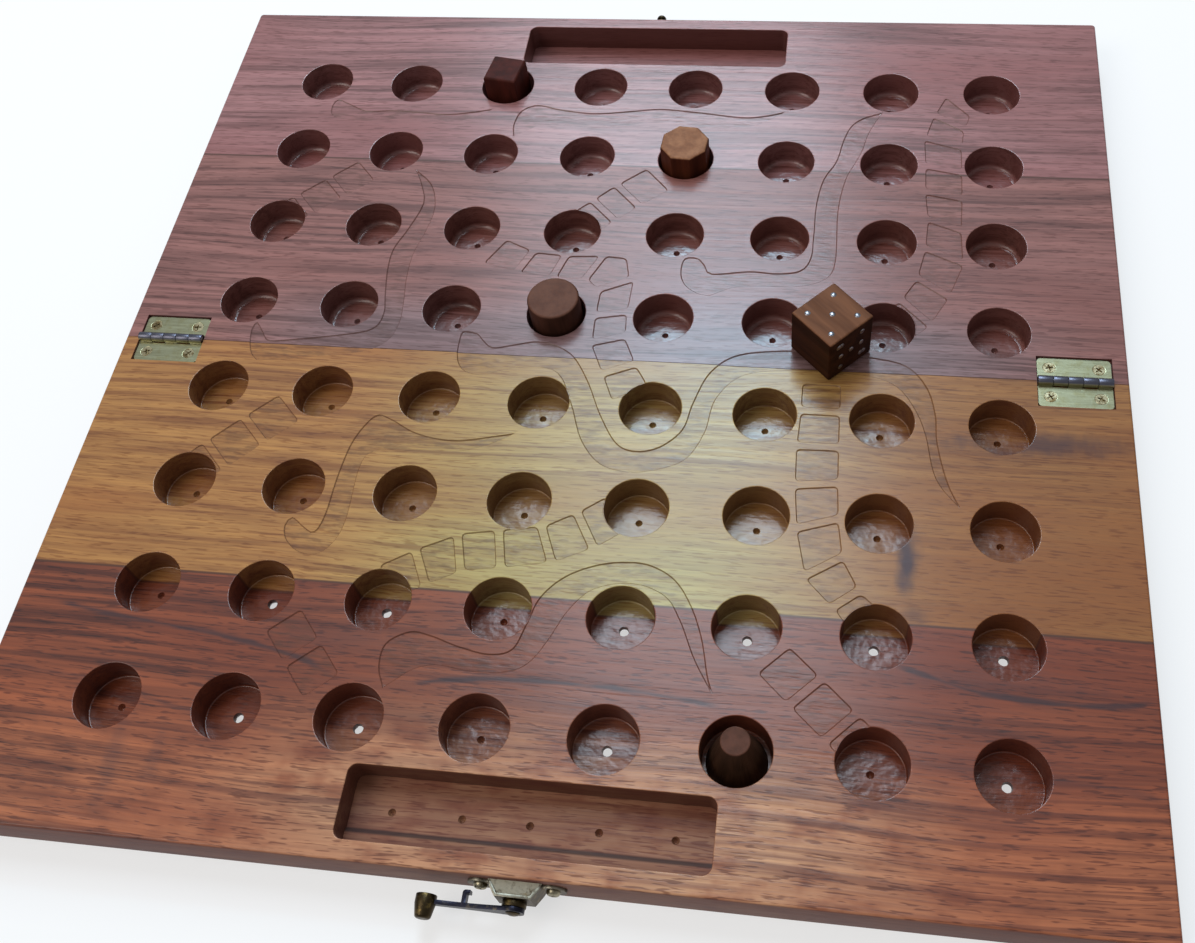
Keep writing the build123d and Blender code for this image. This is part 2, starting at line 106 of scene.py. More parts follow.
# Points nearer than these count as one: on an outline, in a finished mesh, in a solid's own mesh and
# where a flat face is filled
SAME_POINT = 0.01
WELD = 0.002
SOLID_WELD = 0.001
FILL_GAP = 1e-5

# How near a point is when it counts as on the ledge's line, on a chord's corner, as a share of the
# chord, and beside an edge or an end
ON_LINE = 0.001
ON_CORNER = 1e-7
BESIDE = 1.0


def square_x(column):
    return (column - (SQUARES + 1) / 2) * PITCH


def square_y(row):
    return ((SQUARES + 1) / 2 - row) * PITCH


# Carving: each outline is a few points that a smooth curve passes through

SNAKES = {
    "far_left": [
        [(-134, 122), (-134.2, 126), (-132.5, 129.3), (-127, 127), (-118, 122.8), (-108, 123.5),
         (-96, 123), (-84, 122), (-73, 123.5), (-63, 126)],
        [(-134, 122), (-131.5, 118.8), (-122, 117), (-110, 117.5), (-98, 119.5), (-88, 119),
         (-80, 117.5), (-72, 120), (-63, 126)],
    ],
    "far_middle": [
        [(-52.5, 110), (-53.5, 117), (-51.5, 125), (-45, 128.5), (-35, 126.2), (-20, 124.5),
         (-5, 126.3), (7, 127.8), (22, 126.5), (40, 124.2), (50, 125.2), (59, 128.2)],
        [(-52.5, 110), (-48, 113), (-40, 117.5), (-28, 116.5), (-14, 116), (0, 119), (14, 120),
         (30, 117.5), (46, 119.5), (59, 128.2)],
    ],
    "left": [
        [(-89.8, 90.5), (-85.5, 82), (-82.5, 72), (-85.5, 59), (-89.2, 48), (-89.3, 38),
         (-87.5, 26), (-85.8, 16), (-88.5, 9), (-100, 5.5), (-120, 2), (-127, 1.5),
         (-130, 5), (-133.8, 9.5), (-135, 6), (-134, 0), (-132, -5), (-129, -8)],
        [(-89.8, 90.5), (-81, 82), (-77, 70), (-78, 58), (-80.5, 46), (-80.5, 34), (-79, 22),
         (-78.5, 12), (-81.5, 3), (-90, -2), (-104, -4.5), (-118, -7), (-129, -8)],
    ],
    "right": [
        [(97, 128.5), (90, 125.5), (85, 121), (82, 113), (79.5, 101), (75, 91), (72.8, 78),
         (72.5, 62), (72, 51), (68.5, 44.8), (60, 43), (50, 43.5), (36, 41.7), (33, 45.5),
         (30, 48.8), (25, 48.5), (24, 42), (26, 36), (31, 32), (36, 31)],
        [(36, 31), (45, 35.5), (56, 36.5), (68, 37), (78, 41), (81.5, 50), (81.5, 75), (84, 92),
         (89, 105), (92, 117), (97, 128.5)],
    ],
    "middle": [
        [(-54, 0), (-54.2, 5), (-53.5, 9.5), (-48, 9), (-45, 6), (-41, 3), (-34, 4.5),
         (-26, 6.5), (-20, 6), (-14, 3.5), (-9, -1), (-3, -11), (3, -24), (10, -35),
         (17, -37.8), (25, -35.5), (32, -28), (34.5, -17), (39, -4), (47, 4), (60, 7.2),
         (78, 8), (96, 6.5), (108, 3.5), (115, -5), (118, -16), (118.7, -28), (122, -43),
         (126.7, -54)],
        [(-54, 0), (-52.5, -5), (-49, -8.5), (-42, -9.5), (-32, -6), (-21, -5), (-14, -8.5),
         (-8, -21), (-3, -34), (4, -43), (12, -46.2), (22, -45.8), (34, -40.5), (40, -29),
         (42.5, -15), (50, -5), (62, -1.5), (80, -1), (96, -2), (105, -6), (111, -15),
         (114.5, -25), (118, -42), (126.7, -54)],
    ],
    "near_left": [
        [(-25.5, -33.3), (-35, -35.5), (-45, -37.6), (-54, -37.3), (-63, -35), (-72, -30.3),
         (-78, -29.5), (-83.5, -40), (-85.5, -55), (-86, -70), (-88, -77), (-92, -75.5),
         (-97, -72.2), (-99, -75.5), (-97, -81), (-91, -85.3), (-84, -85), (-79.5, -79),
         (-78, -70), (-78.4, -52), (-76, -45), (-68, -43), (-56, -42.5), (-44, -42),
         (-34, -38.5), (-25.5, -33.3)],
    ],
    "near_middle": [
        [(54, -127.2), (50, -119), (46.5, -105), (42, -94), (36, -85.5), (28, -81), (20, -80.2),
         (10, -82), (0, -87), (-7, -95), (-10, -105), (-13, -113.5), (-20, -115.7),
         (-30, -114), (-40, -111), (-47, -110.3), (-54, -115), (-54.5, -123), (-51.5, -130)],
        [(54, -127.2), (45, -113), (39, -100), (33, -91.5), (22, -88), (10, -91), (3, -99),
         (-2, -110), (-7, -118), (-14, -121.5), (-26, -122), (-36, -121), (-43, -123),
         (-48, -127), (-51.5, -130)],
    ],
}

# Ladders: the far edge of each square, from one rail to the other, and last the near end. A third
# point is a corner that the square before the edge has where the ladder turns.
LADDERS = [
    [((-105.4, 83.6), (-114.5, 93.6)), ((-116.8, 73.2), (-125.9, 83.2)),
     ((-127.8, 63.2), (-136.9, 73.2)), ((-138.8, 53.2), (-147.9, 63.2))],
    [((5, 94), (15, 83)), ((-6.8, 84), (3.5, 73.2)), ((-15.2, 75.6), (-5, 65.2)),
     ((-25, 66), (-15, 55.5))],
    [((-52, 42.5), (-45, 54.5)), ((-37, 38.5), (-32.5, 48.8)), ((-22.8, 37), (-19.5, 47.6)),
     ((-10.5, 36.3), (-5, 48.3)), ((-5, 31), (7, 36.5), (3, 47.5)), ((-5.3, 18.5), (6.5, 20.8)),
     ((-4.8, 6), (7.3, 9.7)), ((1.5, -7.5), (13, -2.5)), ((7, -20), (19, -12))],
    [((122, 138), (131.5, 127.5)), ((117, 126.5), (129, 119)), ((113.5, 113.5), (128, 109)),
     ((114, 98.5), (128, 95.5)), ((114, 85), (128, 82)), ((115, 71), (127.5, 66)),
     ((114, 56.5), (128, 50)), ((111, 42.3), (122.5, 34)), ((105, 31.8), (115.5, 21)),
     ((95, 22), (105, 11))],
    [((-105.3, -33.5), (-115.9, -22.9)), ((-116.6, -44.5), (-127.2, -33.9)),
     ((-127.6, -55.7), (-138.2, -45.1)), ((-138.9, -66.8), (-149, -56.7))],
    [((-62.5, -87.9), (-55.5, -100)), ((-50.5, -80.5), (-44.4, -93.1)),
     ((-37.3, -74), (-33.6, -87.5)), ((-23.6, -71.5), (-20.4, -85.5)), ((-9.5, -69), (-4, -82)),
     ((1.5, -62.5), (9, -75.5)), ((11.5, -55), (20, -67))],
    [((72.2, -6.2), (85.8, -6.2)), ((72.2, -18.8), (85.8, -18.8)), ((71.5, -33.3), (86, -33)),
     ((72, -48.8), (86.3, -47)), ((73.5, -65), (87, -60.5)), ((77.3, -82), (89, -74.3)),
     ((87, -92), (95, -85.7)), ((96, -104), (106, -95))],
    [((73.8, -105.6), (64.5, -115)), ((85, -115.8), (75.5, -125.3)),
     ((96, -126), (86.6, -135.5)), ((107, -136), (97.8, -145.6))],
    [((-84.7, -105.5), (-94.5, -114.1)), ((-74.7, -117), (-84.5, -125.6)),
     ((-64.7, -128.5), (-74.5, -137.1))],
]
RUNG_GAP = 2.6
RUNG_CORNER = 1.8


def smooth_line(points, step=CARVE_STEP):
    """Points along a smooth curve through the given points, about one step apart."""
    given = [Vector(p) for p in points]
    padded = [2 * given[0] - given[1]] + given + [2 * given[-1] - given[-2]]
    line = []
    for a, b, c, d in zip(padded, padded[1:], padded[2:], padded[3:]):
        pieces = max(1, round((c - b).length / step))
        for k in range(pieces):
            t = k / pieces
            point = 0.5 * (2 * b + (c - a) * t + (2 * a - 5 * b + 4 * c - d) * t**2
                           + (3 * b - a - 3 * c + d) * t**3)
            line.append(point)
    line.append(given[-1])
    return line


def neighbours(line):
    """Each point of a closed line, with the point before it and the point after it."""
    return list(zip(line[-1:] + line, line, line[1:] + line[:1]))


def heading(angle):
    """An arm of length 1 that points at an angle."""
    return Vector((math.cos(angle), math.sin(angle)))


def rounded_rectangle(middle, size, radius, turn=0.0, steps=4):
    """The corner points of a rectangle with round corners, counterclockwise."""
    spin = Matrix.Rotation(turn, 2)
    points = []
    for quarter, (sx, sy) in enumerate([(1, 1), (-1, 1), (-1, -1), (1, -1)]):
        centre = Vector((sx * (size[0] / 2 - radius), sy * (size[1] / 2 - radius)))
        for k in range(steps + 1):
            arm = heading(math.pi / 2 * (quarter + k / steps)) * radius
            points.append(spin @ (centre + arm) + Vector(middle))
    return points


def rounded_polygon(corners, radius, steps=4):
    """A closed line round some corners, with each corner rounded off."""
    line = []
    for before, corner, after in neighbours([Vector(c) for c in corners]):
        start = corner + (before - corner).normalized() * radius
        end = corner + (after - corner).normalized() * radius
        for k in range(steps + 1):
            t = k / steps
            line.append(start * (1 - t) ** 2 + corner * 2 * t * (1 - t) + end * t**2)
    return line


def ladder_squares(edges):
    """A ladder's squares. Each lies between two edges, less the gap before the second."""
    squares = []
    for (a, b), (c, d, *turn) in zip([edge[:2] for edge in edges], edges[1:]):
        near = [Vector(q) + (Vector(p) - Vector(q)).normalized() * RUNG_GAP
                for p, q in ((a, c), (b, d))]
        squares.append(rounded_polygon([a, b, *turn, near[1], near[0]], RUNG_CORNER))
    return squares


def carved_shapes():
    """Every carved shape's outline, counterclockwise, with no point twice."""
    shapes = []
    for first, *second in SNAKES.values():
        line = smooth_line(first)
        for other in map(smooth_line, second):
            line += other if (other[0] - line[-1]).length < BESIDE else other[::-1]
        shapes.append([p for _, p, after in neighbours(line) if (p - after).length > SAME_POINT])
    for edges in LADDERS:
        shapes += ladder_squares(edges)
    for shape in shapes:
        if sum(p.cross(after) for _, p, after in neighbours(shape)) < 0:
            shape.reverse()
    return shapes


CARVED = carved_shapes()
SEGMENT_STARTS = np.array([p for shape in CARVED for p in shape])
SEGMENT_ENDS = np.array([p for shape in CARVED for p in shape[1:] + shape[:1]])


def in_polygon(points, polygon):
    """Which points lie inside a polygon."""
    inside = np.zeros(len(points), bool)
    x, y = points[:, 0], points[:, 1]
    for (ax, ay), (bx, by) in zip(polygon, polygon[1:] + polygon[:1]):
        if ay == by:
            continue
        crosses = (ay > y) != (by > y)
        inside ^= crosses & (x < (bx - ax) * (y - ay) / (by - ay) + ax)
    return inside


def sunk(points):
    """How far the carving sinks each point: 0 on the face, 1 on the floor of a carved shape."""
    inside = np.zeros(len(points), bool)
    for shape in CARVED:
        inside |= in_polygon(points, shape)
    along = SEGMENT_ENDS - SEGMENT_STARTS
    lengths = (along**2).sum(axis=1)
    share = np.zeros(len(points))
    for index in np.flatnonzero(inside):
        arm = points[index] - SEGMENT_STARTS
        t = np.clip((arm * along).sum(axis=1) / lengths, 0, 1)
        gap = arm - along * t[:, None]
        share[index] = min(1.0, math.sqrt((gap**2).sum(axis=1).min()) / CARVE_WALL)
    return share


def outline_and_foot(shape):
    """A carved shape's outline and the foot of its wall, each as a closed line."""
    foot = []
    for before, point, after in neighbours(shape):
        ahead = (after - before).normalized()
        foot.append(point + Vector((-ahead.y, ahead.x)) * CARVE_WALL)
    return [shape + shape[:1], foot + foot[:1]]


# Planks

def quarter_round(radius, steps=3):
    """How far out and how far down a rounded edge goes, from its top."""
    turns = [math.pi / 2 * k / steps for k in range(steps + 1)]
    return [(radius * math.sin(a), radius * (1 - math.cos(a))) for a in turns]


class Loop:
    """A line round a hole or along an edge, and the rings that its wall passes through."""

    def __init__(self, rings, heights, closed=True, hollow=1.0, ledge_from=None):
        self.rings = rings
        self.heights = heights
        self.closed = closed
        self.hollow = hollow
        self.ledge_from = ledge_from

    def chords(self):
        count = len(self.rings[0])
        return [(k, (k + 1) % count) for k in range(count if self.closed else count - 1)]

    def lowest(self, chord):
        """How far down the wall under a chord goes."""
        count = len(self.rings[0])
        ends = [self.rings[0][chord].y, self.rings[0][(chord + 1) % count].y]
        if self.ledge_from is not None and max(ends) < self.ledge_from + ON_LINE:
            return SOCKET_FLOOR + LEDGE_HEIGHT
        return 0.0

    def place(self, ring, key):
        """The point of a ring at a chord's number plus the share of the chord."""
        points = self.rings[ring]
        start = int(key + ON_CORNER)
        a, b = points[start % len(points)], points[(start + 1) % len(points)]
        return a.lerp(b, key - start) if key - start > ON_CORNER else a

    def foot(self, keys):
        """The lowest ring's points at some keys, in their order."""
        return [self.place(-1, key) for key in sorted(keys)]


def hollow_profile():
    """The rings of a hollow's wall: how far it has grown at the rim, and each ring's height."""
    steps = quarter_round(RIM_ROUND)
    grown = [RIM_ROUND - out for out, down in steps] + [0.0]
    return grown, [THICKNESS - down for out, down in steps] + [SOCKET_FLOOR]


def with_foot(grown, heights, radius):
    """The same rings, with varnish that has run together at the foot of the wall."""
    foot = [(-radius * (1 - math.cos(a)), radius * (1 - math.sin(a)))
            for a in (math.pi / 2 * k / FOOT_STEPS for k in range(FOOT_STEPS + 1))]
    return grown[:-1] + [g for g, _ in foot], heights[:-1] + [SOCKET_FLOOR + h for _, h in foot]


def socket_loop(column, row, low, high):
    """The wall of one socket, or the part of it that lies between two distances across the board."""
    middle = Vector((square_x(column), square_y(row)))
    tight = row > SQUARES / 2 or (row, column) in HOLDS_PEG
    grown, heights = with_foot(*hollow_profile(), TIGHT_FOOT if tight else FOOT_ROUND)
    rings = []
    count = 0
    for step in grown:
        radius = SOCKET_RADIUS + step
        first, last, closed = 0.0, 2 * math.pi, True
        if abs(low - middle.y) < radius:
            reach = math.asin((low - middle.y) / radius)
            first, last, closed = reach, math.pi - reach, False
        elif abs(high - middle.y) < radius:
            reach = math.asin((high - middle.y) / radius)
            first, last, closed = math.pi - reach, 2 * math.pi + reach, False
        count = count or max(LEAST_ARC_STEPS, round(ARC_STEPS * (last - first) / (2 * math.pi)))
        turns = [first + (last - first) * k / count for k in range(count if closed else count + 1)]
        rings.append([middle + heading(a) * radius for a in turns])
    return Loop(rings, heights, closed)


def tray_loop(side):
    """The wall of a storage tray. The near tray has a low ledge along its outer side."""
    grown, heights = hollow_profile()
    grown.append(0.0)
    heights.insert(-1, SOCKET_FLOOR + LEDGE_HEIGHT)
    ledge_from = LEDGE_WIDTH - TRAY_FROM_FOLD - TRAY_SIZE[1] / 2 if side < 0 else None
    rings = []
    for step in grown:
        size = (TRAY_SIZE[0] + 2 * step, TRAY_SIZE[1] + 2 * step)
        middle = (0, side * TRAY_FROM_FOLD)
        ring = rounded_rectangle(middle, size, TRAY_CORNER + step, steps=CORNER_STEPS)
        if ledge_from is not None:
            ring.insert(2 * (CORNER_STEPS + 1), Vector((-size[0] / 2, ledge_from)))
            ring.append(Vector((size[0] / 2, ledge_from)))
        rings.append(ring)
    return Loop(rings, heights, ledge_from=ledge_from)


def side_loops(side, near, far, half_width, outer):
    """The plank's outer edges: both ends, and on the outer plank the long edge between them."""
    steps = quarter_round(EDGE_ROUND)
    grown = [out - EDGE_ROUND for out, down in steps]
    heights = [THICKNESS - down for out, down in steps]
    grown += grown[::-1]
    heights += [THICKNESS - height for height in reversed(heights)]
    if not outer:
        return [Loop([[Vector((end * (half_width + g), side * near)),
                       Vector((end * (half_width + g), side * far))] for g in grown],
                     heights, False, 0.0) for end in (-1, 1)]
    rings = []
    for g in grown:
        ring = [Vector((half_width + g, near))]
        for end in (1, -1):
            centre = Vector((end * (half_width - CORNER_ROUND), far - CORNER_ROUND))
            for k in range(CORNER_STEPS + 1):
                angle = math.pi / 2 * k / CORNER_STEPS + (0 if end > 0 else math.pi / 2)
                ring.append(centre + heading(angle) * (CORNER_ROUND + g))
        ring.append(Vector((-half_width - g, near)))
        rings.append([Vector((p.x, side * p.y)) for p in ring])
    return [Loop(rings, heights, False, 0.0)]


class Solid:
    """A mesh in the making, in millimetres."""

    def __init__(self):
        self.place = Matrix.Identity(4)
        self.bm = bmesh.new()
        self.carve = self.bm.verts.layers.float.new("carve")
        self.hollow = self.bm.verts.layers.float.new("hollow")

    def vertex(self, x, y, z, carve=0.0, hollow=0.0):
        v = self.bm.verts.new(self.place @ Vector((x, y, z)))
        v[self.carve] = carve
        v[self.hollow] = hollow
        return v

    def face(self, corners, hollow=0.0):
        corners = [self.vertex(*c, hollow=hollow) for c in corners]
        return self.bm.faces.new(corners)

    def flat_region(self, outline, holes, height, lines=(), loops=()):
        """Fill an outline, less its holes, and hang the loops' walls on the edges they own."""
        points, edges, owners = [], [], []
        for number, loop in enumerate(loops):
            base = len(points)
            points += loop.rings[0]
            for a, b in loop.chords():
                edges.append((base + a, base + b))
                owners.append((number, a))
        for ring in [outline] + holes:
            base = len(points)
            points += [Vector(p) for p in ring]
            edges += [(base + k, base + (k + 1) % len(ring)) for k in range(len(ring))]
        for line in lines:
            base = len(points)
            points += line
            edges += [(base + k, base + k + 1) for k in range(len(line) - 1)]
        found, out_edges, faces, _, sources, _ = delaunay_2d_cdt(points, edges, [], 0, FILL_GAP)
        flat = np.array([tuple(p) for p in found])
        triangles = np.array([list(f) for f in faces])
        middles = flat[triangles].mean(axis=1)
        keep = in_polygon(middles, outline)
        for ring in holes:
            keep &= ~in_polygon(middles, ring)
        triangles = triangles[keep]
        depth = np.zeros(len(flat))
        if lines:
            depth = sunk(flat)
        made = {}
        for index in np.unique(triangles):
            x, y = flat[index]
            z = height - CARVE_DEPTH * depth[index]
            made[index] = self.vertex(x, y, z, depth[index], float(height in HOLLOW_FLOORS))
        uses = {}
        for triangle in triangles:
            self.bm.faces.new([made[i] for i in triangle])
            for a, b in zip(triangle, np.roll(triangle, -1)):
                key = (min(a, b), max(a, b))
                uses[key] = uses.get(key, 0) + 1
        ends = [set() for _ in loops]
        for (u, v), source in zip(out_edges, sources):
            if uses.get((min(u, v), max(u, v))) != 1:
                continue
            owner = [owners[s] for s in source if s < len(owners)]
            if owner:
                number, chord = owner[0]
                ends[number] |= self.hang_wall(loops[number], chord, (made[u], made[v]))
        return ends

    def hang_wall(self, loop, chord, pair):
        """The wall under one top edge. It gives where on the loop the edge's ends lie."""
        a, b = loop.rings[0][chord], loop.rings[0][(chord + 1) % len(loop.rings[0])]
        along = b - a
        keys = []
        for v in pair:
            share = (Vector(v.co.xy) - a).dot(along) / along.length_squared
            keys.append(chord + min(1.0, max(0.0, share)))
        above = list(pair)
        for ring in range(1, len(loop.rings)):
            below = []
            for v, key in zip(pair, keys):
                place = loop.place(ring, key)
                height = max(loop.lowest(chord), min(loop.heights[ring], v.co.z))
                deep = loop.hollow * min(1.0, (THICKNESS - height) / RIM_ROUND)
                below.append(self.vertex(place.x, place.y, height, hollow=deep))
            self.bm.faces.new([above[0], above[1], below[1], below[0]])
            above = below
        count = len(loop.rings[0])
        return {round(key % count if loop.closed else key, 6) for key in keys}

    def fill_plane(self, axis, value):
        """Close the openings that lie in one plane."""
        edges = [e for e in self.bm.edges if e.is_boundary
                 and all(abs(v.co[axis] - value) < SAME_POINT for v in e.verts)]
        bmesh.ops.triangle_fill(self.bm, use_beauty=True, edges=edges)

    def weld(self):
        bmesh.ops.remove_doubles(self.bm, verts=self.bm.verts[:], dist=WELD)

    def finish(self, name, material, node):
        """Turn the mesh into an object that stands for a node."""
        self.weld()
        bmesh.ops.recalc_face_normals(self.bm, faces=self.bm.faces[:])
        for face in self.bm.faces:
            face.smooth = abs(face.normal.z) < FLAT_NORMAL
        bmesh.ops.scale(self.bm, vec=(MM, MM, MM), verts=self.bm.verts[:])
        return add_piece(name, self.bm, material, node)


def add_object(name, data):
    made = bpy.data.objects.new(name, data)
    bpy.context.scene.collection.objects.link(made)
    return made


def add_mesh(name, bm, material):
    """An object with one material from a mesh in the making."""
    mesh = bpy.data.meshes.new(name)
    bm.to_mesh(mesh)
    bm.free()
    mesh.materials.append(material)
    return add_object(name, mesh)


def add_piece(name, bm, material, node):
    """Make an object that stands for a node, rides on the node's body and has its finish."""
    for edge in bm.edges:
        edge.smooth = edge.calc_face_angle(0.0) < math.radians(SHARP_ANGLE)
    piece = add_mesh(name, bm, material)
    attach(piece, BODY_OF[node])
    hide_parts(node)
    return piece


def circle(middle, radius, steps=24, rough=0.0, seed=0):
    """Points round a circle, pushed in and out a little where it is rough."""
    chance = random.Random(seed)
    points = []
    for k in range(steps):
        angle = 2 * math.pi * k / steps
        arm = radius * (1 + rough * chance.uniform(-1, 1))
        points.append((middle[0] + arm * math.cos(angle), middle[1] + arm * math.sin(angle)))
    return points


def sink(solid, rings, tip=None):
    """The wall of a small hole, and its point where it has one."""
    for (upper, top), (lower, bottom) in zip(rings, rings[1:]):
        for k in range(len(upper)):
            j = (k + 1) % len(upper)
            solid.face([(*upper[k], top), (*upper[j], top), (*lower[j], bottom), (*lower[k], bottom)], 1.0)
    if tip is not None:
        ring, height = rings[-1]
        for k in range(len(ring)):
            j = (k + 1) % len(ring)
            solid.face([(*ring[k], height), (*ring[j], height), tip], 1.0)


def add_drill_mark(solid, middle, seed, through=False):
    """The hole that the drill's point left. It gives the outline on the floor and the lowest one."""
    rings = [(circle(middle, radius, rough=rough, seed=seed), height)
             for radius, height, rough in (THROUGH_RINGS if through else PILOT_RINGS)]
    sink(solid, rings, None if through else (*middle, PILOT_TIP))
    return rings[0][0], rings[-1][0]


def add_mortise(solid, x, side, near):
    """A leaf's mortise with the round groove along the fold. It gives the mortise's outline."""
    low, high, reach = x - MORTISE_HALF_LENGTH, x + MORTISE_HALF_LENGTH, side * MORTISE_REACH
    groove_end = math.sqrt(GROOVE_RADIUS**2 - (AXIS_HEIGHT - MORTISE_FLOOR) ** 2)
    profile = [near + (groove_end - near) * k / GROOVE_STEPS for k in range(GROOVE_STEPS + 1)]
    profile = [(y, AXIS_HEIGHT - math.sqrt(GROOVE_RADIUS**2 - y**2)) for y in profile]
    profile.append((MORTISE_REACH, MORTISE_FLOOR))
    for (y0, z0), (y1, z1) in zip(profile, profile[1:]):
        solid.face([(low, side * y0, z0), (high, side * y0, z0),
                    (high, side * y1, z1), (low, side * y1, z1)])
    solid.face([(low, reach, THICKNESS), (high, reach, THICKNESS),
                (high, reach, MORTISE_FLOOR), (low, reach, MORTISE_FLOOR)])
    for end in (low, high):
        wall = [(end, reach, THICKNESS), (end, side * near, THICKNESS)]
        solid.face(wall + [(end, side * y, z) for y, z in profile])
    return [(low, side * near), (high, side * near), (high, reach), (low, reach)]


def add_socket_floor(solid, rim, cell, low, high):
    """A socket's floor and drill mark. It gives the mark's outline on the underside, if there is one."""
    row, column = cell
    middle = (square_x(column), square_y(row))
    marks, below = [], []
    if low < middle[1] < high:
        through = cell in THROUGH_MARKS
        mark, lowest = add_drill_mark(solid, middle, 10 * row + column, through)
        marks.append(mark)
        if through:
            below.append(lowest)
    solid.flat_region(rim, marks, SOCKET_FLOOR)
    return below


def add_tray_floor(solid, rim, ledge_from):
    """A tray's floor. The near one has a row of drill marks and a step up to its ledge."""
    marks = []
    if ledge_from is not None:
        for number, middle in enumerate(TRAY_MARKS):
            marks.append(add_drill_mark(solid, middle, 200 + number)[0])
        ledge = [p for p in rim if p.y < ledge_from + ON_LINE]
        rim = [p for p in rim if p.y > ledge_from - ON_LINE]
        solid.flat_region(ledge, [], SOCKET_FLOOR + LEDGE_HEIGHT)
        solid.face([(end * TRAY_SIZE[0] / 2, ledge_from, SOCKET_FLOOR + rise)
                    for end, rise in ((-1, 0), (1, 0), (1, LEDGE_HEIGHT), (-1, LEDGE_HEIGHT))], 1.0)
    solid.flat_region(rim, marks, SOCKET_FLOOR)


def all_round(sides, ring):
    """The plank's outline at one ring of its sides."""
    first, *second = [loop.rings[ring] for loop in sides]
    return first + [p for line in second for p in line[::-1]]


def build_plank(name, side, material):
    lowest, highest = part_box(name)
    near, far = sorted([abs(lowest.y) / MM, abs(highest.y) / MM])
    low, high = sorted([side * near, side * far])
    outer = "outer" in name
    solid = Solid()
    cells = [(row, column) for row in range(1, SQUARES + 1) for column in range(1, SQUARES + 1)
             if low - SOCKET_RADIUS < square_y(row) < high + SOCKET_RADIUS]
    sockets = [socket_loop(column, row, low, high) for row, column in cells]
    sides = side_loops(side, near, far, highest.x / MM, outer)
    trays = [tray_loop(side)] if outer else []
    holes = [loop.rings[0] for loop in trays + sockets]
    if not outer:
        holes += [add_mortise(solid, x, side, near) for x in (-HINGE_X, HINGE_X)]
    lines = []
    for shape in CARVED:
        if any(low - BESIDE < p.y < high + BESIDE for p in shape):
            lines += outline_and_foot(shape)
    loops = sides + trays + sockets
    ends = solid.flat_region(all_round(sides, 0), holes, THICKNESS, lines, loops)
    rims = [loop.foot(keys) for loop, keys in zip(loops, ends)][len(sides):]

    underside_holes = []
    for cell, rim in zip(cells, rims[len(trays):]):
        underside_holes += add_socket_floor(solid, rim, cell, low, high)
    for tray, rim in zip(trays, rims):
        add_tray_floor(solid, rim, tray.ledge_from)
    solid.flat_region(all_round(sides, -1), underside_holes, 0.0)
    solid.weld()
    for edge_y in (low, high):
        solid.fill_plane(1, edge_y)
    return solid.finish(name.replace("plank", "board"), material, name)


# Materials

def linear(red, green, blue):
    """A colour given as it is seen on a screen, 0 to 255, as the light it stands for."""
    parts = [value / 255 for value in (red, green, blue)]
    parts = [v / 12.92 if v <= 0.04045 else ((v + 0.055) / 1.055) ** 2.4 for v in parts]
    return (*parts, 1.0)


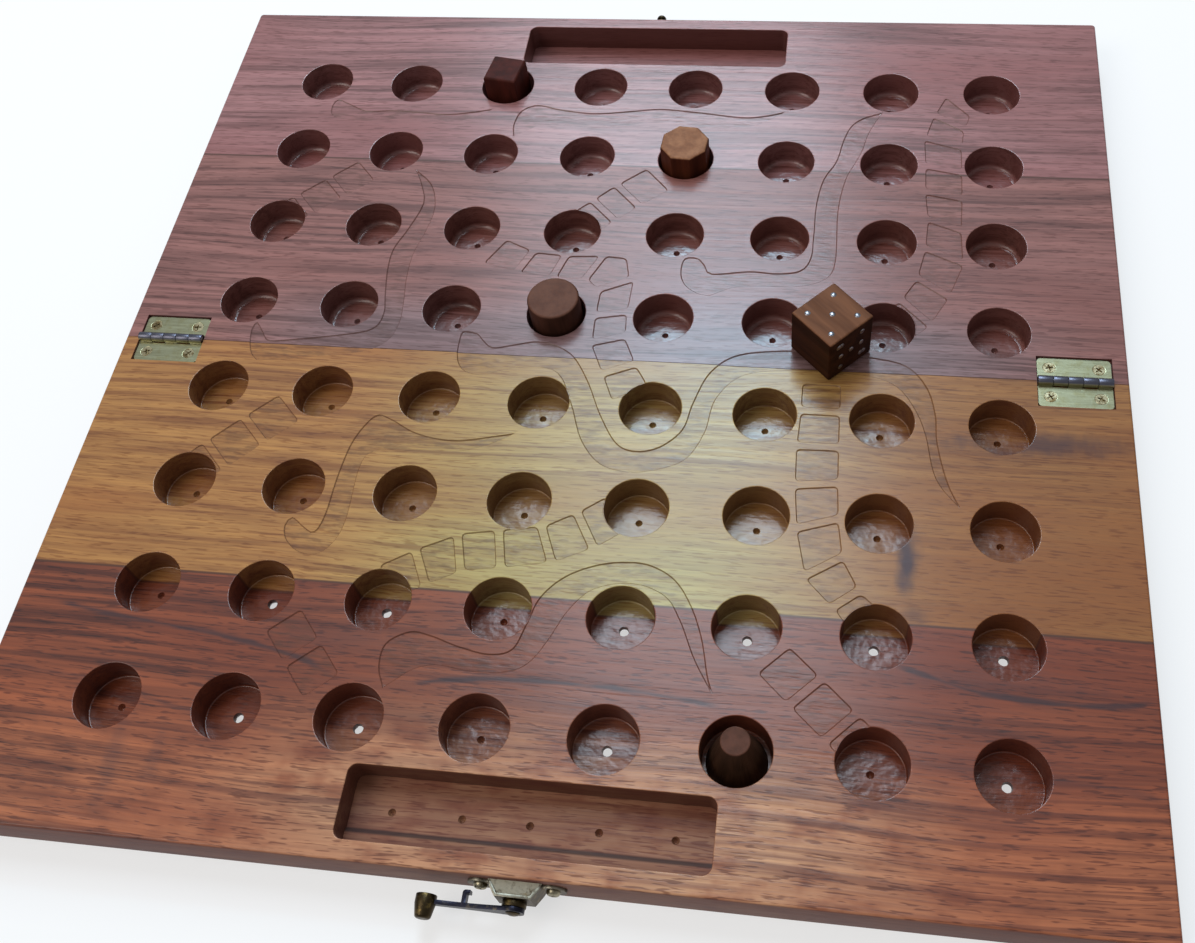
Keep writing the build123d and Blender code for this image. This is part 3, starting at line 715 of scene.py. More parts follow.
class Shader:
    """A material or a world in the making. Each call adds a node and gives one of its outputs."""

    def __init__(self, owner):
        self.owner = owner
        owner.use_nodes = True
        self.nodes = owner.node_tree.nodes
        self.links = owner.node_tree.links
        self.nodes.clear()

    def node(self, kind, inputs, output=0, **settings):
        made = self.nodes.new("ShaderNode" + kind)
        for key, value in settings.items():
            setattr(made, key, value)
        for key, value in inputs.items():
            if isinstance(value, bpy.types.NodeSocket):
                self.links.new(value, made.inputs[key])
            else:
                made.inputs[key].default_value = value
        return made.outputs[output] if made.outputs else made

    def math(self, operation, *values, clamp=False):
        return self.node("Math", dict(enumerate(values)), operation=operation, use_clamp=clamp)

    def times(self, first, *others):
        for other in others:
            first = self.math("MULTIPLY", first, other)
        return first

    def plus(self, first, *others):
        for other in others:
            first = self.math("ADD", first, other)
        return first

    def less(self, first, second):
        return self.math("SUBTRACT", first, second)

    def scaled(self, value, factor, added):
        return self.math("MULTIPLY_ADD", value, factor, added)

    def apart(self, first, second):
        """How far apart two values are."""
        return self.math("ABSOLUTE", self.less(first, second))

    def along(self, place, axis):
        return self.node("SeparateXYZ", {0: place}, axis)

    def upward(self):
        """How far the surface faces up: 1 for a top, 0 for a wall and -1 for an underside."""
        return self.along(self.node("NewGeometry", {}, "Normal"), "Z")

    def blend(self, share, first, second, mode="MIX"):
        return self.node("Mix", {0: share, 6: first, 7: second}, 2, data_type="RGBA", blend_type=mode)

    def stain(self, colour, brown, *shares):
        """The colour turned brown as far as the shares' product goes."""
        return self.blend(self.times(*shares), colour, brown)

    def tint(self, share, colour, factors):
        """The colour times a factor for red, green and blue, as far as the share goes."""
        return self.blend(share, colour, (*factors, 1), "MULTIPLY")

    def shaded(self, colour, value, amount):
        """The colour, darker where a value is under one half and paler where it is over it."""
        shade = self.scaled(value, amount, 1 - amount / 2)
        grey = self.node("CombineColor", {0: shade, 1: shade, 2: shade})
        return self.blend(1.0, colour, grey, "MULTIPLY")

    def ramp(self, value, low, high):
        """0 at one value and 1 at the other, with a soft start and end."""
        return self.node("MapRange", {0: value, 1: low, 2: high}, interpolation_type="SMOOTHSTEP")

    def fade(self, value, low, high):
        """A ramp between two distances in millimetres."""
        return self.ramp(value, low * MM, high * MM)

    def noise(self, place, scale, shift=(0, 0, 0), detail=3.0, roughness=0.55):
        """Noise with its own number of waves to the metre along X, Y and Z."""
        place = self.node("Mapping", {"Vector": place, "Scale": scale, "Location": shift})
        return self.node("TexNoise", {"Vector": place, "Scale": 1.0, "Detail": detail,
                                      "Roughness": roughness})

    def bump(self, height, distance, strength):
        """Relief whose height of 1 stands for a distance in millimetres."""
        return self.node("Bump", {"Strength": strength, "Distance": distance * MM, "Height": height})

    def surface(self, **inputs):
        """The surface itself, whose sockets are given with underscores for spaces."""
        inputs = {key.replace("_", " "): value for key, value in inputs.items()}
        self.node("OutputMaterial", {"Surface": self.node("BsdfPrincipled", inputs)})
        return self.owner


def new_material(name):
    """A material's shader and the place on the object, in metres."""
    sh = Shader(bpy.data.materials.new(name))
    return sh, sh.node("TexCoord", {}, "Object")


# Waves to the metre, along the grain and across it, of each kind of mark in the wood and the metal
SWAY = (5, 14, 14)
FIGURE = (2.6, 30, 30)
BROAD = (6, 22, 22)
STREAKS = (6, 240, 240)
LINES = (8, 440, 440)
HAIRS = (12, 950, 950)
FIBRES = (70, 1500, 1500)
PORES = (150, 1700, 1700)
SCRAPES = (160, 620, 620)
DRILLED = (190, 250, 250)
WAVER = (60, 260, 260)
BLOTS = (160, 90, 90)
MOTTLE = (60, 110, 110)
CLOUDS = (90, 90, 90)
PATCHES = (420, 420, 420)
RUBS = (500, 500, 500)

SWAY_REACH = 16.0
BANDS = 95.0
TRAY_NEAR = 152.5
LEDGE_EDGE = TRAY_FROM_FOLD + TRAY_SIZE[1] / 2 - LEDGE_WIDTH
SEAM_BROWN = linear(70, 36, 20)
# The browns from here to the carving's are painted shade: on the floors and walls of the hollows, on the
# board's sides and along the ledge's step; the carving's brown is also the darker scraped wood of its
# floors
HOLLOW_SHADE_BROWN = linear(104, 50, 38)
WALL_SHADE_BROWN = linear(72, 28, 19)
SIDE_SHADE_BROWN = linear(84, 46, 42)
LEDGE_SHADE_BROWN = linear(40, 14, 10)
CARVE_SCRAPE_AND_SHADE_BROWN = linear(72, 38, 18)


def wood(name, light, dark, warm, seed, coat, pores, extra=None):
    """Varnished wood whose grain runs along X."""
    sh, place = new_material(name)
    across = sh.math("ABSOLUTE", sh.along(place, "Y"))
    shift = (seed * 0.37, seed * 0.73, seed * 0.11)

    def marks(where, scale, detail=2.0, roughness=0.55):
        return sh.noise(where, scale, shift, detail, roughness)

    sway = sh.times(sh.less(marks(place, SWAY, 1.0), 0.5), SWAY_REACH * MM)
    bent = sh.node("VectorMath", {0: place, 1: sh.node("CombineXYZ", {"Y": sway})}, operation="ADD")
    bands = sh.ramp(sh.math("SINE", sh.times(marks(bent, FIGURE), BANDS)), -0.6, 1.0)
    streaks = marks(bent, STREAKS, 4.0, 0.6)
    lines = marks(bent, LINES)
    hairs = marks(bent, HAIRS, 2.0, 0.5)
    fibre = marks(bent, FIBRES, 3.0)
    scrapes = marks(bent, SCRAPES)
    pore = sh.ramp(marks(bent, PORES, 1.0), 0.56, 0.66)

    tone = sh.plus(sh.times(bands, 0.22), sh.times(sh.ramp(streaks, 0.40, 0.62), 0.40),
                   sh.times(sh.ramp(lines, 0.50, 0.62), 0.52), sh.times(sh.ramp(hairs, 0.52, 0.62), 0.24))
    colour = sh.blend(tone, linear(*light), linear(*dark))
    colour = sh.blend(sh.ramp(marks(place, BROAD), 0.42, 0.75), colour, linear(*warm))
    colour = sh.tint(pore, sh.shaded(colour, fibre, 0.5), pores)
    if extra:
        colour = extra(sh, place, colour)
    seam = sh.fade(sh.apart(across, SEAM * MM), 0.6, 0.2)
    colour = sh.stain(colour, SEAM_BROWN, seam, 0.85)

    # Which part of the board a place is on
    hollow = sh.node("Attribute", {}, "Fac", attribute_name="hollow")
    upright = sh.math("ABSOLUTE", sh.upward())
    wall = sh.times(hollow, sh.ramp(upright, 0.9, 0.2))
    floor = sh.times(hollow, sh.ramp(upright, 0.3, 0.9))
    side = sh.times(sh.less(1.0, hollow), sh.ramp(upright, 0.9, 0.3))
    tray = sh.fade(across, TRAY_NEAR, TRAY_NEAR + 1)
    near_tray = sh.fade(sh.along(place, "Y"), -TRAY_NEAR, -TRAY_NEAR - 1)
    ledge = sh.fade(sh.apart(across, LEDGE_EDGE * MM), 1.2, 0.4)
    socket = sh.times(floor, sh.less(1.0, tray))
    carve = sh.node("Attribute", {}, "Fac", attribute_name="carve")
    groove = sh.less(1.0, sh.math("ABSOLUTE", sh.scaled(carve, 2.0, -1.0)))

    # Painted shade on the floors of the sockets and trays, more in the near tray
    colour = sh.stain(colour, HOLLOW_SHADE_BROWN, floor, sh.scaled(near_tray, 0.3, 0.3))
    # Painted shade on the walls of the sockets, darker on the walls of the trays
    colour = sh.stain(colour, WALL_SHADE_BROWN, wall, sh.scaled(tray, 0.25, 0.6))
    # Painted shade on the board's outer sides
    colour = sh.stain(colour, SIDE_SHADE_BROWN, side, 0.8)
    # Painted shade: a dark line on the near tray's floor along the ledge's step
    colour = sh.stain(colour, LEDGE_SHADE_BROWN, floor, near_tray, ledge, 0.85)
    # Painted shade on the walls of the carved shapes; their floors are darker partly as scraped wood and
    # partly as painted shade
    colour = sh.stain(colour, CARVE_SCRAPE_AND_SHADE_BROWN, groove, 0.5)
    colour = sh.stain(colour, CARVE_SCRAPE_AND_SHADE_BROWN, carve, sh.scaled(sh.ramp(scrapes, 0.45, 0.65), 0.36, 0.08))

    # Relief in tenths of a millimetre
    height = sh.plus(sh.times(fibre, 0.2), sh.times(pore, -0.08), sh.times(lines, 0.55),
                     sh.times(streaks, 0.8), sh.times(scrapes, carve),
                     sh.times(marks(place, DRILLED, 2.0, 0.5), socket, 2.8))
    relief = sh.bump(height, 0.1, 1.0)
    dull = sh.math("MAXIMUM", side, sh.times(floor, sh.scaled(tray, 0.25, 0.55)))
    return sh.surface(Base_Color=colour, Normal=relief, Coat_Normal=relief,
                      Roughness=sh.scaled(socket, -0.38, sh.scaled(fibre, 0.16, 0.56)),
                      Coat_Weight=sh.scaled(dull, -0.9 * coat, coat),
                      Specular_IOR_Level=0.35, Coat_Roughness=0.22)


# Dark wavy lines in the near plank: first x, last x, heights along Y, half width and share
STREAK_BROWN = linear(50, 28, 32)
STREAK_END = 8.0
NEAR_STREAKS = [
    (-170, -70, [-109.5, -112, -114.5, -116.8, -120, -126], 1.5, 0.8),
    (-44, 56, [-128, -124.8, -123.4, -123.5, -124.9, -126.5], 1.6, 0.9),
    (103, 183, [-107.5, -112.5, -116, -117, -116.8, -113.5], 1.5, 0.8),
    (-183, -60, [-133, -134, -138, -143, -146, -148], 1.6, 0.35),
    (20, 183, [-146, -144, -141, -139, -140, -143], 1.6, 0.3),
]

# Dark smears: middle, half lengths along X and Y, and share
SMEAR_BROWN = linear(62, 36, 38)
GOLDEN_SMEARS = [((109, -72), (5.5, 18), 1.0), ((150, -26), (38, 7), 0.75), ((112, -92), (7, 5), 0.5)]
NEAR_SMEARS = [((-131, -160), (5, 20), 0.35), ((-118, -158), (4, 13), 0.25), ((-70, -114), (46, 7), 0.3),
               ((135, -112), (50, 6), 0.3), ((5, -129), (60, 5), 0.25)]

# Where the painted sheen, paler and greyer, has its middle along X
SHEEN_X = 12.0

# Tints: factors for red, green and blue
# The olive tints are painted sheen in the middle of the golden plank
MIDDLE_SHEEN_OLIVE = (1.0, 1.58, 1.85)
SEAM_SHEEN_OLIVE = (1.12, 1.42, 1.6)
BROWNER = (0.74, 0.69, 0.66)
# Painted sheen, greyer and bluer, near the fold
FOLD_SHEEN_GREY = (0.86, 1.25, 1.5)
PALER = (1.55, 1.75, 1.8)
# Painted sheen in the middle of the near band
NEAR_SHEEN_PALE = (1.55, 2.8, 3.9)
REDDER = (0.88, 0.72, 0.62)


def curve_through(sh, value, heights):
    """The height, in metres, of a smooth curve through heights at even steps of a value from 0 to 1."""
    low, high = min(heights) - 1, max(heights) + 1
    curve = sh.nodes.new("ShaderNodeFloatCurve")
    points = curve.mapping.curves[0].points
    for number, height in enumerate(heights):
        spot = (number / (len(heights) - 1), (height - low) / (high - low))
        if 0 < number < len(heights) - 1:
            points.new(*spot)
        else:
            points[0 if number == 0 else -1].location = spot
    curve.mapping.update()
    sh.links.new(value, curve.inputs["Value"])
    return sh.node("MapRange", {0: curve.outputs[0], 3: low * MM, 4: high * MM})


def dark_lines(sh, place, colour, streaks):
    x, y = sh.along(place, "X"), sh.along(place, "Y")
    waver = sh.times(sh.less(sh.noise(place, WAVER, detail=2.0), 0.5), 3 * MM)
    for first, last, heights, half_width, share in streaks:
        line_y = curve_through(sh, sh.node("MapRange", {0: x, 1: first * MM, 2: last * MM}), heights)
        mask = sh.fade(sh.plus(sh.apart(y, line_y), waver), half_width, 0.0)
        ends = sh.times(sh.fade(x, first, first + STREAK_END), sh.fade(x, last, last - STREAK_END))
        colour = sh.stain(colour, STREAK_BROWN, mask, ends, share)
    return colour


def smears(sh, place, colour, spots):
    wave = sh.less(sh.noise(place, BLOTS, (3, 1, 2)), 0.5)
    for middle, size, share in spots:
        arm = sh.node("VectorMath", {0: place, 1: (-middle[0] * MM, -middle[1] * MM, 0)}, operation="ADD")
        arm = sh.node("VectorMath", {0: arm, 1: (1 / (size[0] * MM), 1 / (size[1] * MM), 0)},
                      operation="MULTIPLY")
        far = sh.plus(sh.node("VectorMath", {0: arm}, "Value", operation="LENGTH"), wave)
        colour = sh.stain(colour, SMEAR_BROWN, sh.ramp(far, 1.0, 0.15), share)
    return colour


def from_middle(sh, place):
    """How far a place lies from the middle of the painted sheen, along X."""
    return sh.apart(sh.along(place, "X"), SHEEN_X * MM)


def golden(sh, place, colour):
    """Olive in the middle, most of all by the seam, as a painted sheen; brown at the right, with the dark
    smears.
    """
    middle = sh.fade(from_middle(sh, place), 115, 20)
    colour = sh.tint(middle, colour, MIDDLE_SHEEN_OLIVE)
    colour = sh.tint(sh.fade(sh.along(place, "X"), 50, 150), colour, BROWNER)
    by_seam = sh.times(middle, sh.fade(sh.along(place, "Y"), -55, -85))
    colour = sh.tint(by_seam, colour, SEAM_SHEEN_OLIVE)
    return smears(sh, place, colour, GOLDEN_SMEARS)


def sheen_by_fold(sh, place, colour):
    # Painted sheen: greyer and bluer near the fold, most in the middle
    by_fold = sh.fade(sh.along(place, "Y"), 34, 10)
    share = sh.times(by_fold, sh.fade(from_middle(sh, place), 165, 100))
    return sh.tint(share, colour, FOLD_SHEEN_GREY)


def paler_near(sh, place, colour):
    """Paler towards the near edge, there paler and bluer still in the middle as a painted sheen, with the
    smears and dark lines.
    """
    x, y = from_middle(sh, place), sh.along(place, "Y")
    mottled = sh.noise(place, MOTTLE, (5, 2, 0))
    share = sh.times(sh.fade(y, -125, -160), sh.ramp(mottled, 0.2, 0.6))
    colour = sh.tint(share, colour, PALER)
    # Painted sheen: paler and bluer in the middle of the near band
    colour = sh.tint(sh.times(share, sh.fade(x, 130, 40)), colour, NEAR_SHEEN_PALE)
    redder = sh.times(sh.fade(x, 50, 120), sh.fade(y, -165, -140))
    colour = sh.tint(redder, colour, REDDER)
    colour = smears(sh, place, colour, NEAR_SMEARS)
    return dark_lines(sh, place, colour, NEAR_STREAKS)


MAUVE_PORES = (0.66, 0.57, 0.55)
board_woods = {
    "front_inner_plank": wood("golden_wood", (174, 121, 63), (128, 78, 36), (154, 94, 44),
                              1, 0.46, (0.72, 0.62, 0.5), golden),
    "front_outer_plank": wood("reddish_wood", (144, 78, 46), (82, 36, 20), (122, 58, 32),
                              2, 0.48, (0.5, 0.4, 0.36), paler_near),
    "back_inner_plank": wood("inner_mauve_wood", (148, 97, 89), (96, 56, 50), (126, 75, 67),
                             3, 0.5, MAUVE_PORES, sheen_by_fold),
    "back_outer_plank": wood("outer_mauve_wood", (156, 105, 103), (106, 64, 61),
                             (138, 83, 80), 4, 0.75, MAUVE_PORES),
}
for plank_name, plank_wood in board_woods.items():
    build_plank(plank_name, -1 if plank_name.startswith("front") else 1, plank_wood)


# Metal

def metal(name, colour, worn, wear, grain, roughness, relief=0.03, paint=None):
    """Metal whose finish has worn in patches. Its grain is waves to the metre along X, Y and Z."""
    sh, place = new_material(name)
    patches = sh.noise(place, PATCHES, detail=4.0, roughness=0.62)
    fine = sh.noise(place, grain)
    shown = sh.blend(sh.ramp(patches, *wear), linear(*colour), linear(*worn))
    if paint:
        shown = paint(sh, place, shown)
    return sh.surface(Base_Color=sh.shaded(shown, fine, 0.3), Metallic=1.0,
                      Roughness=sh.scaled(fine, 0.2, roughness),
                      Normal=sh.bump(sh.plus(fine, patches), relief, 0.5))


def barrel(sh, place, colour):
    """The rolled knuckles of a leaf, painted greyer and darker than its flat part as a painted dark
    reflection.
    """
    across = sh.math("ABSOLUTE", sh.along(place, "Y"))
    return sh.blend(sh.fade(across, 1.7, 1.3), colour, BARREL_REFLECTION_GREY)


def crown(sh, place, colour):
    """The upper flank of the latch's plate, bright in patches where it faces up: partly rubbed wear and
    partly a painted highlight.
    """
    rubbed = sh.ramp(sh.noise(place, RUBS, (2, 0, 1)), 0.2, 0.5)
    return sh.blend(sh.times(sh.ramp(sh.upward(), 0.2, 0.7), rubbed), colour, RUBBED_AND_HIGHLIT_BRASS)


# Painted dark reflection on the hinges' knuckles
BARREL_REFLECTION_GREY = linear(98, 98, 110)
# Rubbed wear and painted highlight on the latch's crown
RUBBED_AND_HIGHLIT_BRASS = linear(142, 138, 124)
BRUSHED = (120, 2400, 1200)
CAST = (1200, 1200, 1200)
TURNED = (1500, 1500, 1500)
ROLLED = (900, 900, 900)
leaf_brass = metal("leaf_brass", (160, 158, 128), (150, 144, 108), (0.4, 0.75), BRUSHED, 0.26,
                   paint=barrel)
pin_steel = metal("pin_steel", (150, 150, 152), (96, 90, 84), (0.5, 0.7), ROLLED, 0.3)
hinge_screw_brass = metal("hinge_screw_brass", (186, 174, 140), (120, 100, 66), (0.42, 0.66),
                          TURNED, 0.25)
dark_brass = metal("dark_brass", (62, 52, 36), (124, 104, 62), (0.5, 0.74), CAST, 0.3, 0.06)
# The hook's blue-black is a painted dark reflection of its surroundings
hook_dark_reflection_brass = metal("hook_dark_reflection_brass", (40, 40, 50), (92, 84, 70), (0.52, 0.78), CAST, 0.28, 0.06)
plate_brass = metal("plate_brass", (66, 56, 40), (118, 100, 60), (0.48, 0.72), CAST, 0.32, 0.06,
                    crown)
screw_dark_brass = metal("screw_dark_brass", (150, 142, 120), (88, 76, 56), (0.5, 0.68),
                         TURNED, 0.25)
nail_steel = metal("nail_steel", (150, 150, 156), (96, 94, 96), (0.4, 0.65), TURNED, 0.22)

EDGE = 183.0
CROWN_FOOT = 8.0
CROWN_TOP = 5.4
CROWN_RISE = 4.7
CROWN_HALF_HEIGHT = 4.6
LATCH_HEIGHT = 9.0
FLANK_LEAN = 0.7
FLANK_THICKNESS = 0.6
FLANK_ROOT = 0.05
FLANK_LIP = 0.15
FLANK_SET_IN = 0.2


def add_flanks(bm):
    """The sloping flanks that close the pressed crown of the latch's plate above and below."""
    for side in (-1, 1):
        edge = LATCH_HEIGHT + side * CROWN_HALF_HEIGHT
        lean = edge - side * FLANK_LEAN
        root, lip, top = -EDGE - FLANK_ROOT, -EDGE - CROWN_RISE + FLANK_LIP, CROWN_TOP - FLANK_SET_IN
        rings = [[(-CROWN_FOOT, root, edge), (CROWN_FOOT, root, edge), (top, lip, lean), (-top, lip, lean)]]
        rings.append([(x, y, z - side * FLANK_THICKNESS) for x, y, z in rings[0]])
        upper, lower = [[bm.verts.new(Vector(p) * MM) for p in ring] for ring in rings]
        bm.faces.new(upper)
        bm.faces.new(lower[::-1])
        for k in range(4):
            bm.faces.new([upper[k], lower[k], lower[k - 3], upper[k - 3]])


def softened(node, material, width, extra=None):
    """A copy of a solid with its sharp edges rounded off by a given width."""
    bm = bmesh.new()
    bm.from_mesh(frame["nodes"][node].data)
    bmesh.ops.remove_doubles(bm, verts=bm.verts[:], dist=SOLID_WELD * MM)
    bmesh.ops.dissolve_limit(bm, angle_limit=math.radians(FLAT_ANGLE), verts=bm.verts[:],
                             edges=bm.edges[:])
    turns = {e: math.degrees(e.calc_face_angle(0.0)) for e in bm.edges}
    for face in bm.faces:
        face.smooth = any(FLAT_ANGLE < turns[e] < SHARP_ANGLE for e in face.edges)
    sharp = [e for e, turn in turns.items() if turn > SHARP_ANGLE]
    made = bmesh.ops.bevel(bm, geom=sharp, offset=width * MM, segments=2, profile=0.5,
                           affect="EDGES", clamp_overlap=True)
    for face in made["faces"]:
        face.smooth = True
    if extra:
        extra(bm)
        bmesh.ops.recalc_face_normals(bm, faces=bm.faces[:])
    return add_piece(node + "_finished", bm, material, node)


for hinge in ("left_hinge_", "right_hinge_"):
    for leaf in ("front_leaf", "back_leaf"):
        softened(hinge + leaf, leaf_brass, 0.12)
    softened(hinge + "pin", pin_steel, 0.05)
softened("latch_plate", plate_brass, 0.25, add_flanks)
softened("latch_hook", hook_dark_reflection_brass, 0.25)
for fitting, width in (("latch_pivot_rivet", 0.3), ("latch_hook_knob", 0.2), ("keeper_plate", 0.2),
                       ("keeper_stud", 0.15)):
    softened(fitting, dark_brass, width)


# Screws

CROSS_HALF_WIDTH = 0.27
CROSS_TAPER = 0.45
CROSS_NARROWING = 0.6
HINGE_SCREW = [(2.08, 0.0), (2.2, -0.1), (1.2, -1.0), (1.15, -7.0)]
HINGE_SCREW_TIP = -9.0
ROUND_SCREW = [(1.35, 1.3), (1.7, 1.1), (1.98, 0.7), (2.1, 0.25), (2.1, 0.0), (1.05, 0.0), (1.05, -3.2)]
ROUND_SCREW_TIP = -4.6
HINGE_SCREW_X = 8.35
HINGE_SCREW_Y = 6.1
FITTING_THICKNESS = 0.9

# How far the cross reaches from the middle of a head, and how deep it is
HINGE_CROSS = (1.3, 0.9)
ROUND_CROSS = (1.1, 0.8)


def cross(half_width, half_length):
    """The outline of the cross in a screw's head."""
    arm = [(half_length, -half_width), (half_length, half_width), (half_width, half_width)]
    return [tuple(Matrix.Rotation(math.pi / 2 * k, 2) @ Vector(p)) for k in range(4) for p in arm]


def add_screw(solid, profile, tip, reach, depth):
    """A screw with a cross recess, standing on z = 0 with its point down."""
    rings = [(circle((0, 0), radius, SCREW_STEPS), height) for radius, height in profile]
    sink(solid, rings, (0, 0, tip))
    top = profile[0][1]
    upper = cross(CROSS_HALF_WIDTH, reach)
    lower = cross(CROSS_HALF_WIDTH * CROSS_NARROWING, reach * CROSS_TAPER)
    solid.flat_region(rings[0][0], [upper], top)
    sink(solid, [(upper, top), (lower, top - depth)])
    solid.face([(*p, top - depth) for p in lower])


def turned(place, axis, spin, tilt):
    """The place of a screw: where it stands, which way its head faces, its turn and its tilt."""
    lean = Matrix.Rotation(math.radians(tilt[0]), 4, "X") @ Matrix.Rotation(math.radians(tilt[1]), 4, "Y")
    facing = Vector((0, 0, 1)).rotation_difference(Vector(axis)).to_matrix().to_4x4()
    return Matrix.Translation(place) @ facing @ lean @ Matrix.Rotation(math.radians(spin), 4, "Z")


# Each screw's turn, and how far its head leans
HINGE_SCREW_TURNS = {
    ("left", "front"): [(20, (0, 0)), (52, (0.6, -0.5))],
    ("left", "back"): [(38, (0.5, 0.4)), (8, (0, 0.8))],
    ("right", "front"): [(30, (-2.2, -1.2)), (64, (0.8, 0.6))],
    ("right", "back"): [(12, (0, -0.6)), (47, (0.9, 0))],
}
for (hand, half), turns in HINGE_SCREW_TURNS.items():
    screws = Solid()
    for end, (spin, tilt) in zip((-1, 1), turns):
        spot = ((HINGE_X if hand == "right" else -HINGE_X) + end * HINGE_SCREW_X,
                HINGE_SCREW_Y * (1 if half == "back" else -1), LEAF_TOP)
        screws.place = turned(spot, (0, 0, 1), spin, tilt)
        add_screw(screws, HINGE_SCREW, HINGE_SCREW_TIP, *HINGE_CROSS)
    node = f"{hand}_hinge_{half}_screws"
    screws.finish(node + "_finished", hinge_screw_brass, node)

# Side of the board, height, distance from the middle and turns
FITTING_SCREWS = {
    "latch_screws": (-1, LATCH_HEIGHT, 10.8, (15, 70)),
    "keeper_screws": (1, 11.5, 7.0, (40, 5)),
}
for node, (side, height, spread, spins) in FITTING_SCREWS.items():
    screws = Solid()
    for end, spin in zip((-1, 1), spins):
        spot = (end * spread, side * (EDGE + FITTING_THICKNESS), height)
        screws.place = turned(spot, (0, side, 0), spin, (0, 0))
        add_screw(screws, ROUND_SCREW, ROUND_SCREW_TIP, *ROUND_CROSS)
    screws.finish(node + "_finished", screw_dark_brass, node)


# Pegs and die

def loose_wood(name, light, dark, grain, seed, top=None, shine=0.08, turn=0.0):
    """Oiled wood. Grain is waves to the metre along X, Y and Z; top is a height and the colour above it,
    paler partly as sawn end grain and partly as painted light, against sides in painted shade.
    """
    sh, place = new_material(name)
    shift = (seed * 0.41, seed * 0.19, seed * 0.67)
    across = sh.node("Mapping", {"Vector": place, "Rotation": (0, 0, math.radians(turn))})
    streaks = sh.noise(across, grain, shift, 4.0, 0.6)
    fine = sh.noise(across, tuple(4 * g for g in grain), shift)
    clouds = sh.noise(place, CLOUDS, shift, 2.0)
    tone = sh.plus(sh.ramp(streaks, 0.32, 0.68), sh.times(clouds, 0.4))
    colour = sh.blend(sh.math("MULTIPLY", tone, 0.72, clamp=True), linear(*light), linear(*dark))
    # Paler top: partly sawn end grain, partly painted light on top with painted shade on the sides
    if top:
        height, pale = top
        sawn_and_lit = sh.blend(sh.times(sh.ramp(streaks, 0.35, 0.7), 0.5), linear(*pale), linear(*light))
        above = sh.fade(sh.along(place, "Z"), height - 0.5, height - 0.1)
        colour = sh.blend(above, colour, sawn_and_lit)
    return sh.surface(Base_Color=sh.shaded(colour, fine, 0.4), Roughness=sh.scaled(fine, 0.2, 0.42),
                      Normal=sh.bump(sh.plus(streaks, fine), 0.1, 0.4), Specular_IOR_Level=shine)


PEG_TOP = 25.0
DIE_TOP = 36.3
DIE_TURN = 45.0
PEG_WOODS = {
    "square_peg": loose_wood("square_peg_wood", (80, 34, 27), (48, 20, 15), (180, 180, 30), 5),
    "octagonal_peg": loose_wood("octagonal_peg_wood", (86, 42, 25), (54, 23, 14), (220, 220, 28), 6,
                                (PEG_TOP, (152, 106, 76))),
    "round_peg": loose_wood("round_peg_wood", (74, 44, 34), (46, 26, 19), (200, 200, 30), 7,
                            (PEG_TOP, (100, 66, 52))),
    "conical_peg": loose_wood("conical_peg_wood", (60, 38, 26), (36, 22, 14), (220, 220, 30), 8,
                              (PEG_TOP, (94, 60, 48))),
    "die": loose_wood("die_wood", (60, 32, 19), (36, 17, 10), (24, 260, 260), 9,
                      (DIE_TOP, (116, 76, 53)), 0.05, DIE_TURN),
}
for node, peg_wood in PEG_WOODS.items():
    softened(node, peg_wood, 0.3)
softened("die_pips", nail_steel, 0.08)


# Camera, as the photo was taken: over the near edge, a little to its right

PHOTO_SIZE = (1195, 943)
FOCAL_PIXELS = 1270.0
PRINCIPAL_PIXEL = (648.0, 444.0)
AZIMUTH, ELEVATION, ROLL = (math.radians(a) for a in (14.3, 57.4, -8.82))
CAMERA_PLACE = Vector((79.1, -262.8, 383.9)) * MM
SENSOR_WIDTH = 36.0
CLIP_START = 0.01


def add_camera():
    data = bpy.data.cameras.new("camera")
    camera = add_object("camera", data)
    turn = Matrix.Rotation(AZIMUTH, 3, "Z") @ Matrix.Rotation(math.pi / 2 - ELEVATION, 3, "X")
    turn = turn @ Matrix.Rotation(ROLL, 3, "Z")
    camera.matrix_world = Matrix.Translation(CAMERA_PLACE) @ turn.to_4x4()
    width, height = PHOTO_SIZE
    data.sensor_width = SENSOR_WIDTH
    data.lens = FOCAL_PIXELS / width * SENSOR_WIDTH
    data.shift_x = (width / 2 - PRINCIPAL_PIXEL[0]) / width
    data.shift_y = (PRINCIPAL_PIXEL[1] - height / 2) / width
    data.clip_start = CLIP_START
    bpy.context.scene.camera = camera


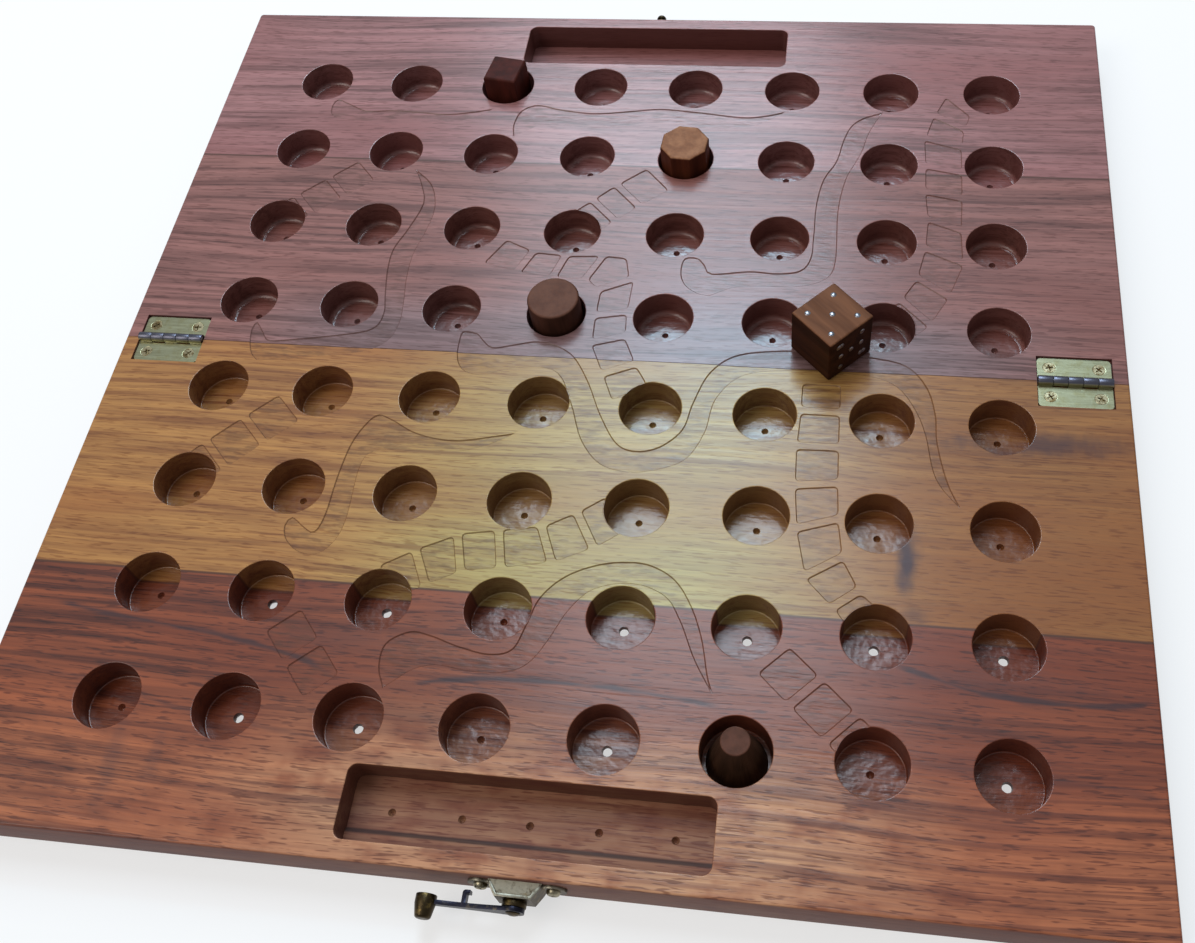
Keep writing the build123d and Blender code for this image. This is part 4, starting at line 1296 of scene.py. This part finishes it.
# Lamps: a cool window behind the board, the bluer sky in it, and a warm room at the left. They face
# the middle of the board. Each has its place and size in metres, its power and its colour.
LAMPS = {
    "window": ((-0.13, 0.85, 1.3), (0.5, 1.15), 17.5, (0.74, 0.87, 1.0)),
    "sky": ((-0.07, 0.95, 1.3), (0.3, 0.15), 3.2, (0.32, 0.74, 1.0)),
    "room": ((-1.2, -0.6, 1.6), (1.2, 1.2), 14.0, (1.0, 0.95, 0.88)),
}
FLOOR_HALF = 4.0
FLOOR_DROP = 0.3
FLOOR_GREY = (0.86, 0.86, 0.86, 1)
FLOOR_GLOW = 0.6
SKY_COLOUR = (0.97, 0.98, 1.0, 1)
SKY_STRENGTH = 0.36


def add_lamp(name, place, size, power, colour):
    data = bpy.data.lights.new(name, "AREA")
    data.shape = "RECTANGLE"
    data.size, data.size_y = size
    data.energy = power
    data.color = colour
    lamp = add_object(name, data)
    aim = (-Vector(place)).to_track_quat("-Z", "Y").to_matrix().to_4x4()
    lamp.matrix_world = Matrix.Translation(place) @ aim


def seen_by_eye(sh):
    """1 for what the camera sees, straight or in a shiny or clear surface."""
    kinds = [sh.node("LightPath", {}, kind)
             for kind in ("Is Camera Ray", "Is Glossy Ray", "Is Transmission Ray")]
    return sh.math("MAXIMUM", sh.math("MAXIMUM", kinds[0], kinds[1]), kinds[2])


def add_floor():
    sh = Shader(bpy.data.materials.new("floor"))
    matt = sh.node("BsdfDiffuse", {"Color": FLOOR_GREY})
    glow = sh.node("Emission", {"Color": (1, 1, 1, 1), "Strength": 1.0})
    share = sh.times(seen_by_eye(sh), FLOOR_GLOW)
    sh.node("OutputMaterial", {"Surface": sh.node("MixShader", {0: share, 1: matt, 2: glow})})
    bm = bmesh.new()
    bm.faces.new([bm.verts.new((x * FLOOR_HALF, y * FLOOR_HALF, -FLOOR_DROP * MM))
                  for x, y in ((-1, -1), (1, -1), (1, 1), (-1, 1))])
    floor = add_mesh("floor", bm, sh.owner)


def add_world():
    world = bpy.data.worlds.new("studio")
    bpy.context.scene.world = world
    sh = Shader(world)
    soft = sh.node("Background", {"Color": SKY_COLOUR, "Strength": SKY_STRENGTH})
    white = sh.node("Background", {"Strength": 1.0})
    seen = sh.node("LightPath", {}, "Is Camera Ray")
    sh.node("OutputWorld", {"Surface": sh.node("MixShader", {0: seen, 1: soft, 2: white})})


add_camera()
add_world()
add_floor()
for lamp_name, lamp in LAMPS.items():
    add_lamp(lamp_name, *lamp)

bpy.context.scene.view_settings.view_transform = "Standard"
